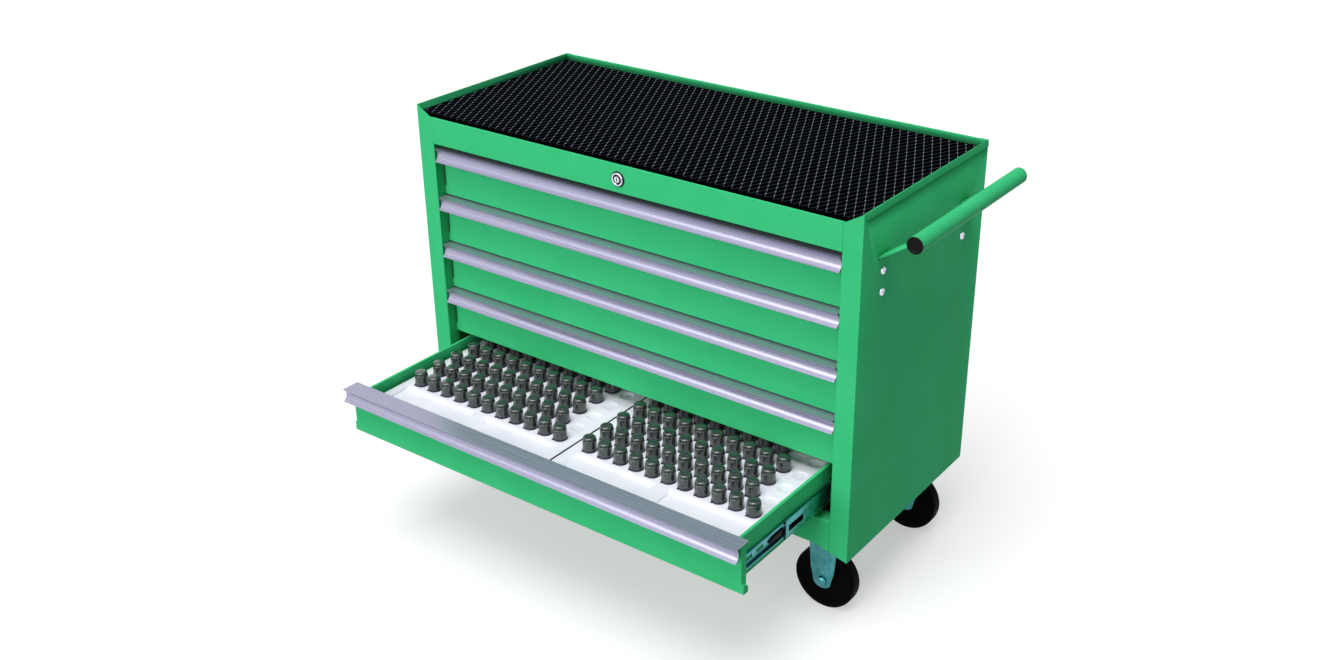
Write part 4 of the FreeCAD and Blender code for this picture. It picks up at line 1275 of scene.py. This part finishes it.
# %% Pale floor
FLOOR_Z = cad_low.z
FLOOR_GLOW = 0.45
bpy.ops.mesh.primitive_plane_add(size=40, location=(0, 0, FLOOR_Z))
floor = bpy.context.object
floor.name = "floor"
bpy.ops.object.transform_apply(location=True, rotation=True, scale=True)
pale, shader = begin("pale_floor", Roughness=0.9, Specular_IOR_Level=0.0)
ray = add(pale, "LightPath").outputs
seen = add(pale, "Math", {0: ray["Is Camera Ray"], 1: ray["Is Glossy Ray"]}, operation="MAXIMUM")
seen = add(pale, "Math", {0: seen.outputs[0], 1: ray["Is Transmission Ray"]}, operation="MAXIMUM")
toned(pale, shader, seen.outputs[0], "9A9A9E", "CBCBCC")
glow = add(pale, "Math", {0: seen.outputs[0], 1: FLOOR_GLOW}, operation="MULTIPLY")
shader.inputs["Emission Color"].default_value = (1, 1, 1, 1)
wire(pale, glow.outputs[0], shader.inputs["Emission Strength"])
floor.data.materials.append(pale)
floor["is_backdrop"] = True
print("floor at", round(FLOOR_Z, 4))

# %% Sky and lamp
world = bpy.data.worlds.new("studio")
bpy.context.scene.world = world
world.use_nodes = True
sky = world.node_tree.nodes["Background"]
ray = add(world, "LightPath").outputs
seen = add(world, "Math", {0: ray["Is Camera Ray"], 1: ray["Is Glossy Ray"]}, operation="MAXIMUM")
seen = add(world, "Math", {0: seen.outputs[0], 1: ray["Is Transmission Ray"]}, operation="MAXIMUM")
SKY_LIGHT = 0.27
SKY_SEEN = 1.0
level = add(world, "MapRange", {"Value": seen.outputs[0], 3: SKY_LIGHT, 4: SKY_SEEN})
wire(world, level.outputs["Result"], sky.inputs["Strength"])
sky.inputs["Color"].default_value = linear("FAFAFF")
LAMPS = (("front_lamp", (0.16, 0.94, -0.30), 0.60, 50), ("top_lamp", (-0.04, 0.28, -0.95), 0.70, 40))
for name, way, share, breadth in LAMPS:
    bpy.ops.object.light_add(type="SUN", location=at(0, 0, 2500) - Vector(way))
    lamp = bpy.context.object
    lamp.name = name
    lamp.data.angle = math.radians(breadth)
    lamp.data.energy = share * math.pi
    lamp.rotation_euler = Vector(way).to_track_quat("-Z", "Y").to_euler()
    print(f"{name}: {lamp.data.energy:.2f} W/m2")

# %% [markdown]
# ## Camera
# The camera stands where the picture was taken from: to the right of the front and above the
# deck. Its lens and its small shift put the case at its place in the frame.

# %% Camera
CAMERA_PLACE = Vector((1.4917, -1.9730, 1.6950))
AZIMUTH = math.radians(35.817)
ELEVATION = math.radians(25.696)
ROLL = math.radians(-0.11)
FRAME_WIDTH = 1320
FOCAL = 1432.55
bpy.ops.object.camera_add(location=CAMERA_PLACE)
camera = bpy.context.object
camera.name = "camera"
bpy.context.scene.camera = camera
forward = Vector(
    (
        -math.sin(AZIMUTH) * math.cos(ELEVATION),
        math.cos(AZIMUTH) * math.cos(ELEVATION),
        -math.sin(ELEVATION),
    )
)
facing = forward.to_track_quat("-Z", "Y") @ Matrix.Rotation(ROLL, 3, "Z").to_quaternion()
camera.rotation_euler = facing.to_euler()
camera.data.sensor_width = 36.0
camera.data.lens = FOCAL / FRAME_WIDTH * camera.data.sensor_width
camera.data.shift_x = -0.0270
camera.data.shift_y = -0.0137
bpy.context.scene.view_settings.view_transform = "Standard"
print(f"lens: {camera.data.lens:.2f} mm")

# %% [markdown]
# ## Measure and finish
# How far the dressed model's box reaches past the CAD box is printed, so that the two can be compared.

# %% Print how far the box grew
low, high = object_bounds()
print("grown by, in mm:", [round(v / MM, 2) for v in (*(low - cad_low), *(high - cad_high))])
